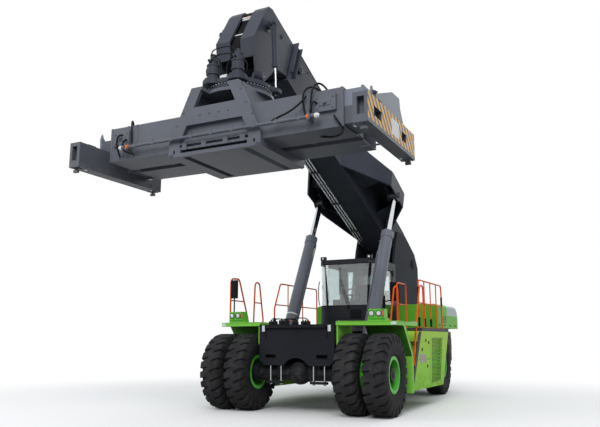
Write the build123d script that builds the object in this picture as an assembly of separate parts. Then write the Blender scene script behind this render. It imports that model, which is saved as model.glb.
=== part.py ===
# Reach stacker: a container handler with a telescopic boom and a 20/40 ft spreader.
# Millimetres.  Z is up and 0 is the ground, the machine looks along -Y, and +X is its left side.
# All places are given from the front axle; shift_y then centres the whole machine on the origin.
from build123d import *
from math import atan2, cos, degrees, hypot, pi, radians, sin
import os

os.makedirs("parts", exist_ok=True)

# ---------------------------------------------------------------- driving dimensions
wheelbase = 5750
tyre_radius = 814
tyre_width = 480
bead_width = 340
rim_radius = 330
flange_radius = 366
flange_thickness = 20
front_track = 1550            # middle of a pair of front wheels from the centre line
dual_spacing = 600
groove_count = 24             # grooves in each shoulder of a tyre
groove_share = 0.36           # of the step from one groove to the next
groove_depth = 42
rib_half = 35                 # the whole rubber between the two rows of grooves
tread_slant = 0.35            # of a step, from the middle of the tread to its edge
shoulder_drop = 194           # how far the grooves reach down the side
rear_track = 1400
kingpin_track = 1080
kingpin_radius = 50
fit = 0.3                     # radial or face clearance between pieces that run on each other
side_gap = 10                 # clearance beside an eye, between its cheeks

axle_height = tyre_radius
axle_tube_radius = 170
front_spindle_radius = 120
rear_spindle_radius = 90
ball_radius = 245             # differential housing
girder_inner = 330
girder_outer = 490
frame_rear = wheelbase + 1050
deck_height = 1770
deck_thickness = 80
fender_top = deck_height + 100
fender_thickness = 80
fender_inner = 900
fender_outer = 2110
plate_half_width = 880
plate_front = -300
plate_thickness = 40
plate_top = deck_height + 45
plate_bottom = 970

box_inner = 1300              # tool and tank boxes under the walkways
box_outer = 2050
tower_inner = 540
tower_outer = 600
counterweight_rear = frame_rear + 550
counterweight_half = 1480
counterweight_top = deck_height - 50

pivot_y = 6400                # boom pivot
pivot_z = 3750
pivot_pin_radius = 80
boom_angle = 22.2             # elevation at rest, degrees
boom_half_width = 430
boom_below = 233              # boom plates below and above the line through the pivot
boom_above = 752
boom_wall = 20
boom_front = 8520             # along the boom from the pivot
boom_rear = -450
inner_play = 30               # room between outer and inner boom, filled by wear pads
inner_wall = 16
inner_rear = 700
head_start = 8650

lift_track = 1060             # lift cylinders
lift_foot_y = 1126
lift_foot_z = 1180
lift_eye_s = 3402             # eye on the boom's wing: along the boom and above the pivot line
lift_eye_w = 210
lift_barrel_radius = 145
lift_rod_radius = 82
lift_barrel_length = 3380
lift_eye_radius = 140
lift_eye_width = 170

head_plate = 50
head_pin_s = 9366             # pin of the slewing head, in boom coordinates
head_pin_w = -949
tilt_pin_s = 9630             # upper pin of the damping cylinders
tilt_pin_w = 175
tilt_track = 600
tilt_barrel_radius = 48
tilt_rod_radius = 18

spreader_y = -2690            # slewing axis
slew_plate_top = 6200
slew_plate_bottom = slew_plate_top - 80
slew_ring_bottom = slew_plate_bottom - 120
slew_ring_radius = 600
seat_z = 4720                 # underside of the end beams, where the container's corners meet
end_beam_top = 5205
end_outer = 3030
end_inner = 2780
half_length_y = 1220
tunnel_top = 5530
tunnel_bottom = 4870
tunnel_near = 100             # tunnels either side of the spreader's middle line
tunnel_far = 760
tunnel_half = 2450
tunnel_wall = 20
beam_play = 20
corner_x = 5853 / 2           # twistlock centres of a container
corner_y = 2259 / 2

cab_half = 780
cab_front = 2450
cab_rear = 4150
cab_roof = deck_height + 1730
cab_sill = deck_height + 560
cab_wall = 50

shift_y = -(counterweight_rear + spreader_y - half_length_y) / 2


# ---------------------------------------------------------------- shapes used by many pieces
def block(x, y, z):
    """Box from three (low, high) pairs."""
    size = [high - low for low, high in (x, y, z)]
    centre = [(high + low) / 2 for low, high in (x, y, z)]
    return Pos(*centre) * Box(*size)


def prism_x(x, outline):
    """Outline of (y, z) points, from the low to the high x."""
    return extrude(Plane.YZ.offset(x[0]) * make_face(Polyline(*outline, close=True)), x[1] - x[0])


def prism_y(y, outline):
    """Outline of (x, z) points, from the low to the high y."""
    return extrude(Plane.XZ.offset(-y[1]) * make_face(Polyline(*outline, close=True)), y[1] - y[0])


def prism_z(z, outline):
    """Outline of (x, y) points, from the low to the high z."""
    return extrude(Plane.XY.offset(z[0]) * make_face(Polyline(*outline, close=True)), z[1] - z[0])


def round_x(x, y, z, radius):
    return Pos((x[0] + x[1]) / 2, y, z) * Rot(0, 90, 0) * Cylinder(radius, x[1] - x[0])


def round_z(z, x, y, radius):
    return Pos(x, y, (z[0] + z[1]) / 2) * Cylinder(radius, z[1] - z[0])


def bar(start, end, radius):
    """Round bar between two points."""
    path = Line(start, end)
    return extrude(Plane(start, z_dir=path % 0) * Circle(radius), path.length)


def tube_run(points, radius, bend):
    """Bent tube through points, with round corners."""
    path = FilletPolyline(*points, radius=bend) if len(points) > 2 else Line(*points)
    return sweep(Plane(points[0], z_dir=path % 0) * Circle(radius), path)


def both(piece):
    """A piece and its mirror image on the other side."""
    return [piece, mirror(piece, Plane.YZ)]


def fused(pieces):
    whole = pieces[0]
    for piece in pieces[1:]:
        whole += piece
    return whole


def on_boom(piece):
    """Raises a piece drawn with the boom level, its pivot at the origin and its head along -Y."""
    return Pos(0, pivot_y, pivot_z) * Rot(-boom_angle, 0, 0) * piece


def boom_point(s, w):
    """Place (y, z) of a point that lies s along the boom and w above the pivot line."""
    a = radians(boom_angle)
    return pivot_y - s * cos(a) + w * sin(a), pivot_z + s * sin(a) + w * cos(a)


nodes = {}


def keep(name, pieces):
    """Writes a node, given as one solid or a list of solids that don't touch."""
    pieces = pieces if isinstance(pieces, list) else [pieces]
    solids = [solid for piece in pieces for solid in piece.solids()]
    moved = [Pos(0, shift_y, 0) * solid for solid in solids]
    whole = moved[0] if len(moved) == 1 else Compound(children=moved)
    nodes[name] = whole
    export_step(whole, f"parts/{name}.step")


# ---------------------------------------------------------------- wheels
def tyre():
    """Tyre about the X axis, centred on its own middle, in flat facets.

    Each profile is a line of (x, radius) from the side of the tyre to its middle rib."""
    half = tyre_width / 2
    land = ((half, tyre_radius - shoulder_drop), (half - 50, tyre_radius), (rib_half, tyre_radius))
    groove = (land[0], (rib_half, tyre_radius - groove_depth), land[2])
    bead_x = bead_width / 2 - fit
    bead = [(bead_x, radius / cos(pi / groove_count)) for radius in (rim_radius, flange_radius + 4)]
    facets = []

    def spot(place, side, step):
        x, radius = side * place[0], place[1]
        angle = (step + tread_slant * x / half) * 2 * pi / groove_count
        return (x, -radius * cos(angle), radius * sin(angle))

    def strip(first, second):
        """Facets between two lines of points, of which the shorter ends in a fan."""
        for i in range(max(len(first), len(second)) - 1):
            a, b = (first[min(j, len(first) - 1)] for j in (i, i + 1))
            c, d = (second[min(j, len(second) - 1)] for j in (i, i + 1))
            facets.extend(corners for corners in ((a, b, d), (a, d, c)) if len(set(corners)) == 3)

    for k in range(groove_count):
        halves = []
        for side, start in ((1, k), (-1, k + 0.5)):
            steps = (start, start + groove_share, start + 1)
            grooves = [[spot(place, side, step) for place in groove] for step in steps[:2]]
            lands = [[spot(place, side, step) for place in land] for step in steps]
            strip(*grooves)
            strip(*lands[1:])
            for high, low in zip(lands, grooves):
                facets.extend([(high[0], high[1], low[1]), (high[1], high[2], low[1])])
            seat, rim_edge = [[spot(place, side, step) for step in (steps[0], steps[2])] for place in bead]
            strip(seat, rim_edge)
            strip([lands[0][0], lands[1][0]], rim_edge[:1])
            strip([lands[1][0], lands[2][0]], rim_edge)
            halves.append((seat, [line[2] for line in lands]))
        for left, right in zip(*halves):
            strip(left, right)
    return Solid(Shell([Face(Wire.make_polygon(corners)) for corners in facets]))


def rim(centres, disc, hub_inner, hub_outer, hub_radius, bore):
    """Wheel for the tyres at the given places along X: barrel, flanges, disc and hub in one."""
    flange = bead_width / 2 + flange_thickness
    low, high = min(centres) - flange, max(centres) + flange
    seat = rim_radius - fit
    whole = round_x((low, high), 0, 0, seat) - round_x((low - 1, high + 1), 0, 0, seat - 30)
    for centre in centres:
        for side in (-1, 1):
            face = centre + side * bead_width / 2
            edge = sorted((face, face + side * flange_thickness))
            whole += round_x(edge, 0, 0, flange_radius) - round_x((edge[0] - 1, edge[1] + 1), 0, 0, seat - 30)
    whole += round_x((disc, disc + 40), 0, 0, seat - 15)
    whole += round_x((hub_inner, hub_outer), 0, 0, hub_radius)
    return whole - round_x((hub_inner - 1, hub_outer - 60), 0, 0, bore)


def at_axle(piece, y):
    return Pos(0, y, axle_height) * piece


tread = tyre()
front_centres = (front_track - dual_spacing / 2, front_track + dual_spacing / 2)
front_hub = (960, 1920)
rear_hub = (1180, 1500)
front_wheel = at_axle(rim(front_centres, 1600, *front_hub, 200, front_spindle_radius + fit), 0)
rear_wheel = at_axle(rim((rear_track,), 1380, *rear_hub, 160, rear_spindle_radius + fit), wheelbase)
for side, sign in (("left", 1), ("right", -1)):
    keep(f"front_tyres_{side}", [at_axle(Pos(sign * centre, 0, 0) * tread, 0) for centre in front_centres])
    keep(f"rear_tyre_{side}", at_axle(Pos(sign * rear_track, 0, 0) * tread, wheelbase))
    for name, wheel in (("front_wheel", front_wheel), ("rear_wheel", rear_wheel)):
        keep(f"{name}_{side}", wheel if sign > 0 else mirror(wheel, Plane.YZ))

# ---------------------------------------------------------------- axles and knuckles
spindle_end = front_hub[1] - 70
axle = round_x((-front_hub[0] + 10, front_hub[0] - 10), 0, axle_height, axle_tube_radius)
axle += round_x((-spindle_end, spindle_end), 0, axle_height, front_spindle_radius)
axle += Pos(0, -60, axle_height) * Rot(90, 0, 0) * Sphere(ball_radius)
for side in (-1, 1):
    seat = sorted((side * girder_inner, side * girder_outer))
    axle += block(seat, (-170, 170), (axle_height, axle_height + 196))
keep("front_axle", axle)

fork_half = 230               # height of the knuckle's body above and below the axle's middle
fork_plate = 60
rear_beam = block((-kingpin_track + 160, kingpin_track - 160), (wheelbase - 150, wheelbase + 150),
                  (axle_height - 170, axle_height + 110))
for side in (-1, 1):
    for low in (fork_half, -fork_half - fork_plate):
        z = (axle_height + low, axle_height + low + fork_plate)
        x = sorted((side * (kingpin_track - 280), side * kingpin_track))
        rear_beam += block(x, (wheelbase - 110, wheelbase + 110), z)
        rear_beam += round_z(z, side * kingpin_track, wheelbase, 110)
    rear_beam += block(sorted((side * (kingpin_track - 280), side * (kingpin_track - 160))),
                       (wheelbase - 110, wheelbase + 110),
                       (axle_height - fork_half - fork_plate, axle_height + fork_half + fork_plate))
    rear_beam += round_z((axle_height - fork_half - fork_plate, axle_height + fork_half + fork_plate),
                         side * kingpin_track, wheelbase, kingpin_radius)
rear_beam += round_z((axle_height, axle_height + 186), 0, wheelbase, 120)
keep("rear_axle", rear_beam)

knuckle = round_z((axle_height - fork_half + fit, axle_height + fork_half - fit), kingpin_track, wheelbase, 90)
knuckle += round_x((kingpin_track, rear_hub[1] - 80), wheelbase, axle_height, rear_spindle_radius)
knuckle -= round_z((0, 2 * axle_height), kingpin_track, wheelbase, kingpin_radius + fit)
keep("knuckle_left", knuckle)
keep("knuckle_right", mirror(knuckle, Plane.YZ))

# ---------------------------------------------------------------- chassis
axle_seat = axle_height + 196         # the front axle's pads meet the girders here
girder_front = plate_front + plate_thickness + 60
girder_side = [(girder_front, axle_seat), (700, axle_seat), (1000, 640), (4700, 640),
               (5200, 1000), (frame_rear, 1000), (frame_rear, 1560), (5000, 1560),
               (4400, deck_height - deck_thickness),
               (girder_front, deck_height - deck_thickness)]
frame = fused(both(prism_x((girder_inner, girder_outer), girder_side)))
cross_members = (             # y low, y high, z low, z high, reach beyond the girders
    (-260, -150, 1430, deck_height - deck_thickness, fender_inner),
    (1000, 1250, 700, 980, lift_track + 190),
    (2600, 2800, 700, 1100, girder_outer),
    (4350, 4550, 700, 1400, girder_outer),
    (4750, 4850, 1000, 1050, girder_outer),
    (6050, 6150, 1000, 1050, girder_outer),
    (wheelbase - 140, wheelbase + 140, 1000, 1050, girder_outer),
)
for y0, y1, z0, z1, reach in cross_members:
    frame += block((-reach, reach), (y0, y1), (z0, z1))
cheek = 35
eye_half = lift_eye_width / 2
for side in (-1, 1):
    for face in (-eye_half - side_gap - cheek, eye_half + side_gap):
        x = sorted((side * (lift_track + face), side * (lift_track + face + cheek)))
        outline = [(lift_foot_y - 126, 960), (lift_foot_y + 124, 960), (lift_foot_y + 124, lift_foot_z),
                   (lift_foot_y - 126, lift_foot_z)]
        frame += prism_x(x, outline) + round_x(x, lift_foot_y, lift_foot_z, 124)
    x = sorted(side * (lift_track + reach) for reach in (-eye_half - side_gap - cheek, eye_half + side_gap + cheek))
    frame += round_x(x, lift_foot_y, lift_foot_z, 60)
keep("main_frame", frame)

# front plate, with its round cut over the axle's ball, two slots and the axle's long studs
plate_y = (plate_front, plate_front + plate_thickness)
edge = 110
outline = [(-plate_half_width, plate_top), (-plate_half_width, plate_bottom + edge),
           (-plate_half_width + edge, plate_bottom), (plate_half_width - edge, plate_bottom),
           (plate_half_width, plate_bottom + edge), (plate_half_width, plate_top)]
front = prism_y(plate_y, outline)
front -= Pos(0, plate_front, axle_height - 30) * Rot(90, 0, 0) * Cylinder(ball_radius + 95, 200)
stud_x = (-630, -380, 380, 630)
for x in (-600, 600):
    front -= block((x - 125, x + 125), (plate_y[0] - 1, plate_y[1] + 1), (1125, 1185))
front += block((-plate_half_width + 200, plate_half_width - 200), (plate_front - 25, plate_front),
               (plate_top - 70, plate_top - 35))
for side in (-1, 1):
    x = sorted((side * 330, side * 700))
    front += block(x, (plate_y[1], girder_front), (plate_bottom + 30, plate_bottom + 90))
    front += block(x, (-310, girder_front), (600, 650))
for x in stud_x:
    front += round_z((620, plate_bottom + 60), x, girder_front - 28, 17)
keep("front_plate", front)

tower_side = [(4300, 1500), (4350, 2700), (4750, 4000), (5000, 4550), (5740, 4510), (6650, 4060),
              (6960, 3660), (6960, 2300), (frame_rear - 10, 1760), (frame_rear - 10, 1500)]
tower = fused(both(prism_x((tower_inner, tower_outer), tower_side)))
tower += block((-tower_inner, tower_inner), (6860, 6920), (2100, 3000))
tower += block((-tower_inner, tower_inner), (4340, 4390), (1700, 2500))
for side in (-1, 1):
    x = sorted((side * girder_outer, side * tower_inner))
    tower += block(x, (4900, frame_rear - 60), (1400, 1620))
tower += round_x((-tower_outer - 40, tower_outer + 40), pivot_y, pivot_z, pivot_pin_radius)
keep("boom_tower", tower)

weight = block((-counterweight_half, counterweight_half), (frame_rear, counterweight_rear),
               (560, counterweight_top))
weight -= prism_y((frame_rear - 1, counterweight_rear + 1), [(-2000, 500), (-counterweight_half + 420, 500),
                  (-counterweight_half, 900), (-2000, 900)])
weight -= prism_y((frame_rear - 1, counterweight_rear + 1), [(2000, 500), (counterweight_half - 420, 500),
                  (counterweight_half, 900), (2000, 900)])
weight = fillet(weight.edges().filter_by(Axis.Z).group_by(Axis.Y)[-1], 120)
tow_pin_radius = 25
jaw = (700, 820)
jaw_lip = 120
weight -= block((-110, 110), (counterweight_rear - 180, counterweight_rear + 1), jaw)
weight -= block((-60, 60), (counterweight_rear - 180, counterweight_rear + 1),
                (jaw[1] + jaw_lip, counterweight_top + 1))
weight -= round_z((jaw[0] - 80, jaw[1] + jaw_lip + 1), 0, counterweight_rear - 90, tow_pin_radius)
keep("counterweight", weight)

# ---------------------------------------------------------------- fenders, boxes, hood, engine
top_low = fender_top - fender_thickness
fender = prism_x((fender_inner, fender_outer), [(-400, top_low), (520, top_low), (560, fender_top),
                                                (-400, fender_top)])
fender += prism_x((box_inner - 40, fender_outer), [(470, top_low), (1030, 1150), (990, 390), (1060, 390),
                                                   (1100, 1170), (560, fender_top)])
fender += prism_x((box_inner - 40, fender_outer), [(470, top_low), (1500, top_low), (1500, fender_top),
                                                   (470, fender_top)])
fender -= prism_z((0, 3000), [(fender_inner - 1, -260), (fender_outer + 1, 100), (fender_outer + 1, -500),
                              (fender_inner - 1, -500)])
fender += block((fender_inner, fender_inner + 40), (-230, 520), (1400, top_low))
keep("fenders", both(fender))

box_side = [(1240, 420), (2030, deck_height - deck_thickness), (4560, deck_height - deck_thickness), (3830, 400)]
side_box = prism_x((box_inner, box_outer), box_side)
grille_front = ((2700, 520), (2860, 1545))     # bottom and top (y, z) of its front edge
grille_rear = ((3510, 520), (3840, 1545))
grille_rim = 14
louvre_pitch = 82
louvre_gap = 46
louvre_depth = 45
side_box += prism_x((box_outer, box_outer + grille_rim), [*grille_front, *reversed(grille_rear)])


def grille_edge(edge, z):
    (y0, z0), (y1, z1) = edge
    return y0 + (z - z0) * (y1 - y0) / (z1 - z0)


for low in range(grille_front[0][1] + 30, grille_front[1][1] - louvre_pitch, louvre_pitch):
    y = (grille_edge(grille_front, low) + 60, grille_edge(grille_rear, low) - 40)
    side_box -= block((box_outer - louvre_depth, box_outer + grille_rim + 1), y, (low, low + louvre_gap))
keep("side_boxes", both(side_box))

hood_inner = tower_outer + fit
hood_outer = 1780
hood_top = deck_height + 670
hood_sheet = 25
hood_y = (4600, 6960)
hood = block((hood_inner, hood_outer), hood_y, (deck_height + 30, hood_top))
rounded = hood.edges().filter_by(Axis.X).group_by(Axis.Z)[-1]
hood = fillet(rounded.group_by(Axis.Y)[-1], 330)
hood = fillet(hood.edges().filter_by(Axis.Y).group_by(Axis.Z)[-1].group_by(Axis.X)[-1], 90)
hood -= block((hood_inner + hood_sheet, hood_outer - hood_sheet), (hood_y[0] + hood_sheet, hood_y[1] - 330),
              (deck_height + 29, hood_top - hood_sheet))
keep("engine_hood", both(hood))

keep("engine_block", block((-girder_inner + 10, girder_inner - 10), (4700, 6200), (1050, 2100)))

# ---------------------------------------------------------------- walkways, ladders and rails
deck_z = (deck_height - deck_thickness, deck_height)
deck = block((-tower_inner + 60, tower_inner - 60), (1700, 4300), deck_z)
for side in (-1, 1):
    deck += block(sorted((side * (tower_inner - 60), side * fender_inner)), (1700, 4300), deck_z)
    deck += block(sorted((side * fender_inner, side * box_outer)), (2050, 4600), deck_z)
deck += block((-fender_inner + 40, fender_inner - 40), (-255, 900), (deck_z[0], plate_top))


def box_front(z):
    """Place of the ladder's back, just clear of the side box's sloping front."""
    (y0, z0), (y1, z1) = box_side[:2]
    return y0 + (z - z0) * (y1 - y0) / (z1 - z0) - fit


ladders = []
step_rise = 290
ladder_inner = 1480
stringer = 25
for x in (ladder_inner, box_outer - stringer):
    ladders.append(prism_x((x, x + stringer), [(box_front(520) - 150, 520), (box_front(520), 520),
                                               (box_front(1680), 1680), (box_front(1680) - 150, 1680)]))
for step in range(4):
    z = 560 + step * step_rise
    ladders.append(block((ladder_inner, box_outer), (box_front(z) - 160, box_front(z) - 10), (z, z + 25)))
ladder = fused(ladders)
keep("walkways", [deck])
keep("ladders", both(ladder))

rail = 19
rail_bend = 110
rail_x = 1900
on_fender = fender_top - deck_height
# side, x, points (y, height) of the tube, height of the middle bar, y of its ends, y of the posts;
# heights are above the deck
rails = (
    (-1, rail_x, ((120, on_fender), (120, 1120), (480, 1140), (900, 220), (900, on_fender)), 620, (120, 717), ()),
    (-1, rail_x, ((1180, on_fender), (1180, 220), (1230, 1120), (1440, 1120), (1640, 220), (1640, on_fender)), 620,
     (1202, 1551), ()),
    (-1, rail_x, ((2240, 0), (2240, 530), (2560, 1180), (4850, 1180), (4850, 0)), 620, (2284, 4850), (3000, 3900)),
    (1, rail_x, ((2400, 0), (2400, 1130), (4550, 1130), (4550, 0)), 590, (2400, 4550), (2900, 3450, 4000)),
    (1, 1480, ((2060, 0), (2060, 1050), (2760, 1050), (2760, 0)), 550, (2060, 2760), ()),
)
rail_pieces = []
for side, x, points, middle, ends, posts in rails:
    piece = tube_run([(side * x, y, deck_height + up) for y, up in points], rail, rail_bend)
    middle += deck_height
    piece += bar((side * x, ends[0], middle), (side * x, ends[1], middle), rail - 4)
    for y in posts:
        top = deck_height + max(up for _, up in points)
        piece += bar((side * x, y, deck_height), (side * x, y, top), rail - 4)
    rail_pieces.append(piece)
for x in (box_outer + rail + fit, ladder_inner - rail - fit):
    rail_pieces.append(tube_run([(x, 1300, deck_height - 820), (x, 1340, deck_height - 540),
                                 (x, 1900, deck_height + 930), (x, 2180, deck_height + 990),
                                 (x, 2180, deck_height)], rail, rail_bend))
keep("handrails", rail_pieces)

lamp_x = 1680
lamps = []
for side in (-1, 1):
    body = block((side * lamp_x - 200, side * lamp_x + 200), (60, 260), (fender_top, fender_top + 60))
    body += block((side * lamp_x - 170, side * lamp_x + 170), (20, 230), (fender_top + 60, fender_top + 250))
    for x in (-95, 60):
        body += Pos(side * lamp_x + x, 20, fender_top + 160) * Rot(90, 0, 0) * Cylinder(58, 40)
    lamps.append(body)
    lamps.append(block(sorted((side * 560, side * 700)), (2520, 2600), (cab_roof, cab_roof + 95)))   # on the cab
keep("headlamps", lamps)

mirror_z = cab_sill + 100
mirror_pieces = [
    bar((-1800, 125, fender_top + 250), (-1800, 125, mirror_z + 30), 16)
    + block((-1880, -1720), (100, 150), (mirror_z, mirror_z + 420)),
    tube_run([(cab_half, 3010, mirror_z + 20), (cab_half + 120, 3010, mirror_z + 20),
              (1250, 2620, mirror_z + 20), (1250, 2620, mirror_z + 370)], 16, 60)
    + block((1130, 1370), (2590, 2650), (mirror_z, mirror_z + 450)),
]
keep("mirrors", mirror_pieces)


# ---------------------------------------------------------------- cab
def cab_plan(inset):
    """Floor plan of the cab with round front corners, moved in by inset."""
    half = cab_half - inset
    face = Pos(0, (cab_front + cab_rear) / 2) * Rectangle(2 * half, cab_rear - cab_front - 2 * inset)
    front_corners = face.vertices().group_by(Axis.Y)[0]
    return fillet(front_corners, 330 - inset)


def cab_column(inset, z):
    return extrude(Plane.XY.offset(z[0]) * cab_plan(inset), z[1] - z[0])


pane = 12
window_top = cab_roof - 110
rear_window_z = (cab_sill + 120, cab_roof - 150)
pane_inset = 20
door_y = (3060, 3960)
door_z = (deck_height + 130, cab_roof - 120)
front_window = block((-2000, 2000), (2000, 2960), (cab_sill, window_top))
side_window = block((-2000, 0), (3060, 3980), (cab_sill, window_top))
rear_window = block((-600, 600), (cab_rear - 200, cab_rear + 200), rear_window_z)
shell = cab_column(0, (deck_height, cab_roof)) - cab_column(cab_wall, (deck_height + 60, cab_roof - 60))
door_hole = block((cab_half - cab_wall - 10, cab_half + 10), door_y, door_z)
pane_post = block((-cab_half, -cab_half + cab_wall), (2960, 3060), (deck_height, cab_roof))
cab_shell = shell - front_window - side_window - rear_window - door_hole + pane_post
cab_shell += block((cab_half - cab_wall, cab_half), (2960, 3060), (deck_height, cab_roof))
hinge_x = cab_half + 10
hinge_y = door_y[1] - 20
hinge_z = (door_z[0] + 150, door_z[1] - 230)
hinge_length = 120
for z in hinge_z:
    lug = (z + hinge_length + fit, z + hinge_length + 50)
    cab_shell += round_z(lug, hinge_x, hinge_y, 9) + block((hinge_x - 9, hinge_x + 4), (hinge_y, hinge_y + 60), lug)
    cab_shell += block((cab_half - 1, hinge_x + 4), (door_y[1] + 5, hinge_y + 60), lug)
keep("cab_shell", cab_shell)

glass_ring = cab_column(pane_inset, (cab_sill + fit, window_top - fit))
glass_ring -= cab_column(pane_inset + pane, (cab_sill, window_top))
windscreen = glass_ring & block((-2000, 2000), (2000, 2960 - fit), (0, 4000))
side_pane = glass_ring & block((-2000, 0), (3060 + fit, 3980 - fit), (0, 4000))
rear_pane = block((-600 + fit, 600 - fit), (cab_rear - pane_inset - pane, cab_rear - pane_inset),
                  (rear_window_z[0] + fit, rear_window_z[1] - fit))
keep("cab_glass", [windscreen, side_pane, rear_pane])

door_play = 6
door_leaf = block((cab_half - cab_wall + 5, cab_half), (door_y[0] + door_play, door_y[1] - door_play),
                  (door_z[0] + door_play, door_z[1] - door_play))
door_light = block((0, 2000), (door_y[0] + 90, door_y[1] - 90), (door_z[0] + 250, door_z[1] - 90))
door = door_leaf - door_light + block((cab_half, cab_half + 40), (door_y[0] + 60, door_y[0] + 85),
                                       (door_z[0] + 350, door_z[0] + 700))
for z in hinge_z:
    door += round_z((z, z + hinge_length), hinge_x, hinge_y, 12)
keep("cab_door", door)
door_pane = block((cab_half - 32, cab_half - 20), (door_y[0] + 90 + fit, door_y[1] - 90 - fit),
                  (door_z[0] + 250 + fit, door_z[1] - 90 - fit))
keep("cab_door_glass", door_pane)

floor = deck_height + 60
seat = block((-130, 130), (3300, 3560), (floor, floor + 300))
seat += block((-260, 260), (3180, 3700), (floor + 300, floor + 440))
seat += prism_x((-250, 250), [(3640, floor + 440), (3700, floor + 440), (3900, floor + 1150), (3800, floor + 1150)])
for side in (-1, 1):
    x = sorted((side * 270, side * 340))
    seat += block(x, (3250, 3700), (floor + 560, floor + 620))
    seat += block(sorted((side * 240, side * 340)), (3600, 3700), (floor + 400, floor + 620))
keep("driver_seat", seat)

console = prism_x((-170, 170), [(2640, floor), (2900, floor), (2860, floor + 620), (2700, floor + 640)])
console += bar((0, 2790, floor + 600), (0, 3010, floor + 800), 28)
wheel_tilt = 50
console += Pos(0, 3010, floor + 800) * Rot(-wheel_tilt, 0, 0) * Torus(190, 17)
console += Pos(0, 3010, floor + 800) * Rot(-wheel_tilt, 0, 0) * Box(380, 40, 16)
keep("cab_console", console)


# ---------------------------------------------------------------- boom
def boom_block(x, s, w):
    """Box in boom coordinates."""
    return block(x, (-s[1], -s[0]), w)


def boom_side(x, outline):
    """Outline of (s, w) points, between two places across the boom."""
    return prism_x(x, [(-s, w) for s, w in outline])


def boom_round(x, s, w, radius):
    return round_x(x, -s, w, radius)


cavity_start = 300
boom_outline = [(boom_front, -boom_below), (-300, -boom_below), (boom_rear, -40), (-330, 420), (500, boom_above),
                (boom_front, boom_above)]
outer = boom_side((-boom_half_width, boom_half_width), boom_outline)
collar_start = boom_front - 160
collar = 25
outer += boom_block((-boom_half_width - collar, boom_half_width + collar), (collar_start, boom_front),
                    (-boom_below - collar, boom_above + collar))
rib_reach = 85                # stiffening ribs near the mouth
for low in (boom_front - 25, boom_front - 210):
    outer += boom_block((-boom_half_width - rib_reach, boom_half_width + rib_reach), (low, low + 25),
                        (-40, boom_above + 45))
outer += boom_round((-boom_half_width - 55, boom_half_width + 55), boom_front - 340, 330, 78)
outer -= boom_block((-boom_half_width + boom_wall, boom_half_width - boom_wall), (cavity_start, boom_front + 1),
                    (-boom_below + boom_wall, boom_above - boom_wall))
outer += boom_round((-tower_inner + fit, tower_inner - fit), 0, 0, 190)
outer -= boom_round((-tower_inner, tower_inner), 0, 0, pivot_pin_radius + fit)

# wing that carries the lift rod's eye: plan (x, s) of its two flanks, open underneath
wing_sheet = 28
wing_tip = lift_track + eye_half + side_gap + cheek


def wing_body(inset):
    plan = [(boom_half_width - 5, 5500 - 3 * inset), (wing_tip - inset, 4000 - inset),
            (wing_tip - inset, 2950 + inset), (boom_half_width - 5, 1900 + 2 * inset)]
    tall = prism_z((-600, 1000), [(x, -s) for x, s in plan])
    bottom = -1000 if inset else 0
    section = [(boom_half_width - 5, -210 + bottom), (boom_half_width - 5, 735 - inset),
               (wing_tip, 535 - inset), (wing_tip, 110 + bottom)]
    return tall & prism_y((-6000, -1500), section)


wing = wing_body(0) - wing_body(wing_sheet)
for low in (lift_track - eye_half - side_gap - cheek, lift_track + eye_half + side_gap):
    plate = boom_block((low, low + cheek), (lift_eye_s - 170, lift_eye_s + 420), (lift_eye_w, 800)) & wing_body(0)
    plate += boom_round((low, low + cheek), lift_eye_s, lift_eye_w, 170)
    wing += plate
wing += boom_round((wing_tip, wing_tip + 15), lift_eye_s, lift_eye_w, 75)
for piece in both(wing):
    outer += piece
pad_length = 150
inner_half = boom_half_width - boom_wall - inner_play
inner_low = -boom_below + boom_wall + inner_play
inner_high = boom_above - boom_wall - inner_play
pad_s = (collar_start, boom_front - 10)
for x in (-250, 250):
    outer += boom_block((x - 80, x + 80), pad_s, (-boom_below + boom_wall - 1, inner_low - fit))
    outer += boom_block((x - 80, x + 80), pad_s, (inner_high + fit, boom_above - boom_wall + 1))
for side in (-1, 1):
    x = sorted((side * (inner_half + fit), side * (boom_half_width - boom_wall + 1)))
    outer += boom_block(x, pad_s, (60, 420))
keep("outer_boom", on_boom(outer))

# pipes along the boom's right lower edge, with their clamps
pipe_w = -boom_below - 55
pipe_run = (900, 7600)
clamp_s = (1200, 2600, 4000, 5400, 6800)
pipes = fused([boom_block((-400, -180), (s - 30, s + 30), (pipe_w - 25, -boom_below)) for s in clamp_s])
for x in (-370, -290, -210):
    pipes += bar((x, -pipe_run[0], pipe_w), (x, -pipe_run[1], pipe_w), 16)
keep("boom_pipes", on_boom(pipes))

inner = boom_block((-inner_half, inner_half), (inner_rear, head_start), (inner_low, inner_high))
inner -= boom_block((-inner_half + inner_wall, inner_half - inner_wall), (inner_rear - 1, head_start - 60),
                    (inner_low + inner_wall, inner_high - inner_wall))
rear_pad = (inner_rear, inner_rear + pad_length)
for x in (-250, 250):
    inner += boom_block((x - 80, x + 80), rear_pad, (-boom_below + boom_wall + fit, inner_low + 1))
    inner += boom_block((x - 80, x + 80), rear_pad, (inner_high - 1, boom_above - boom_wall - fit))
for side in (-1, 1):
    x = sorted((side * (inner_half - 1), side * (boom_half_width - boom_wall - fit)))
    inner += boom_block(x, rear_pad, (60, 420))
keep("inner_boom", on_boom(inner))

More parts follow.
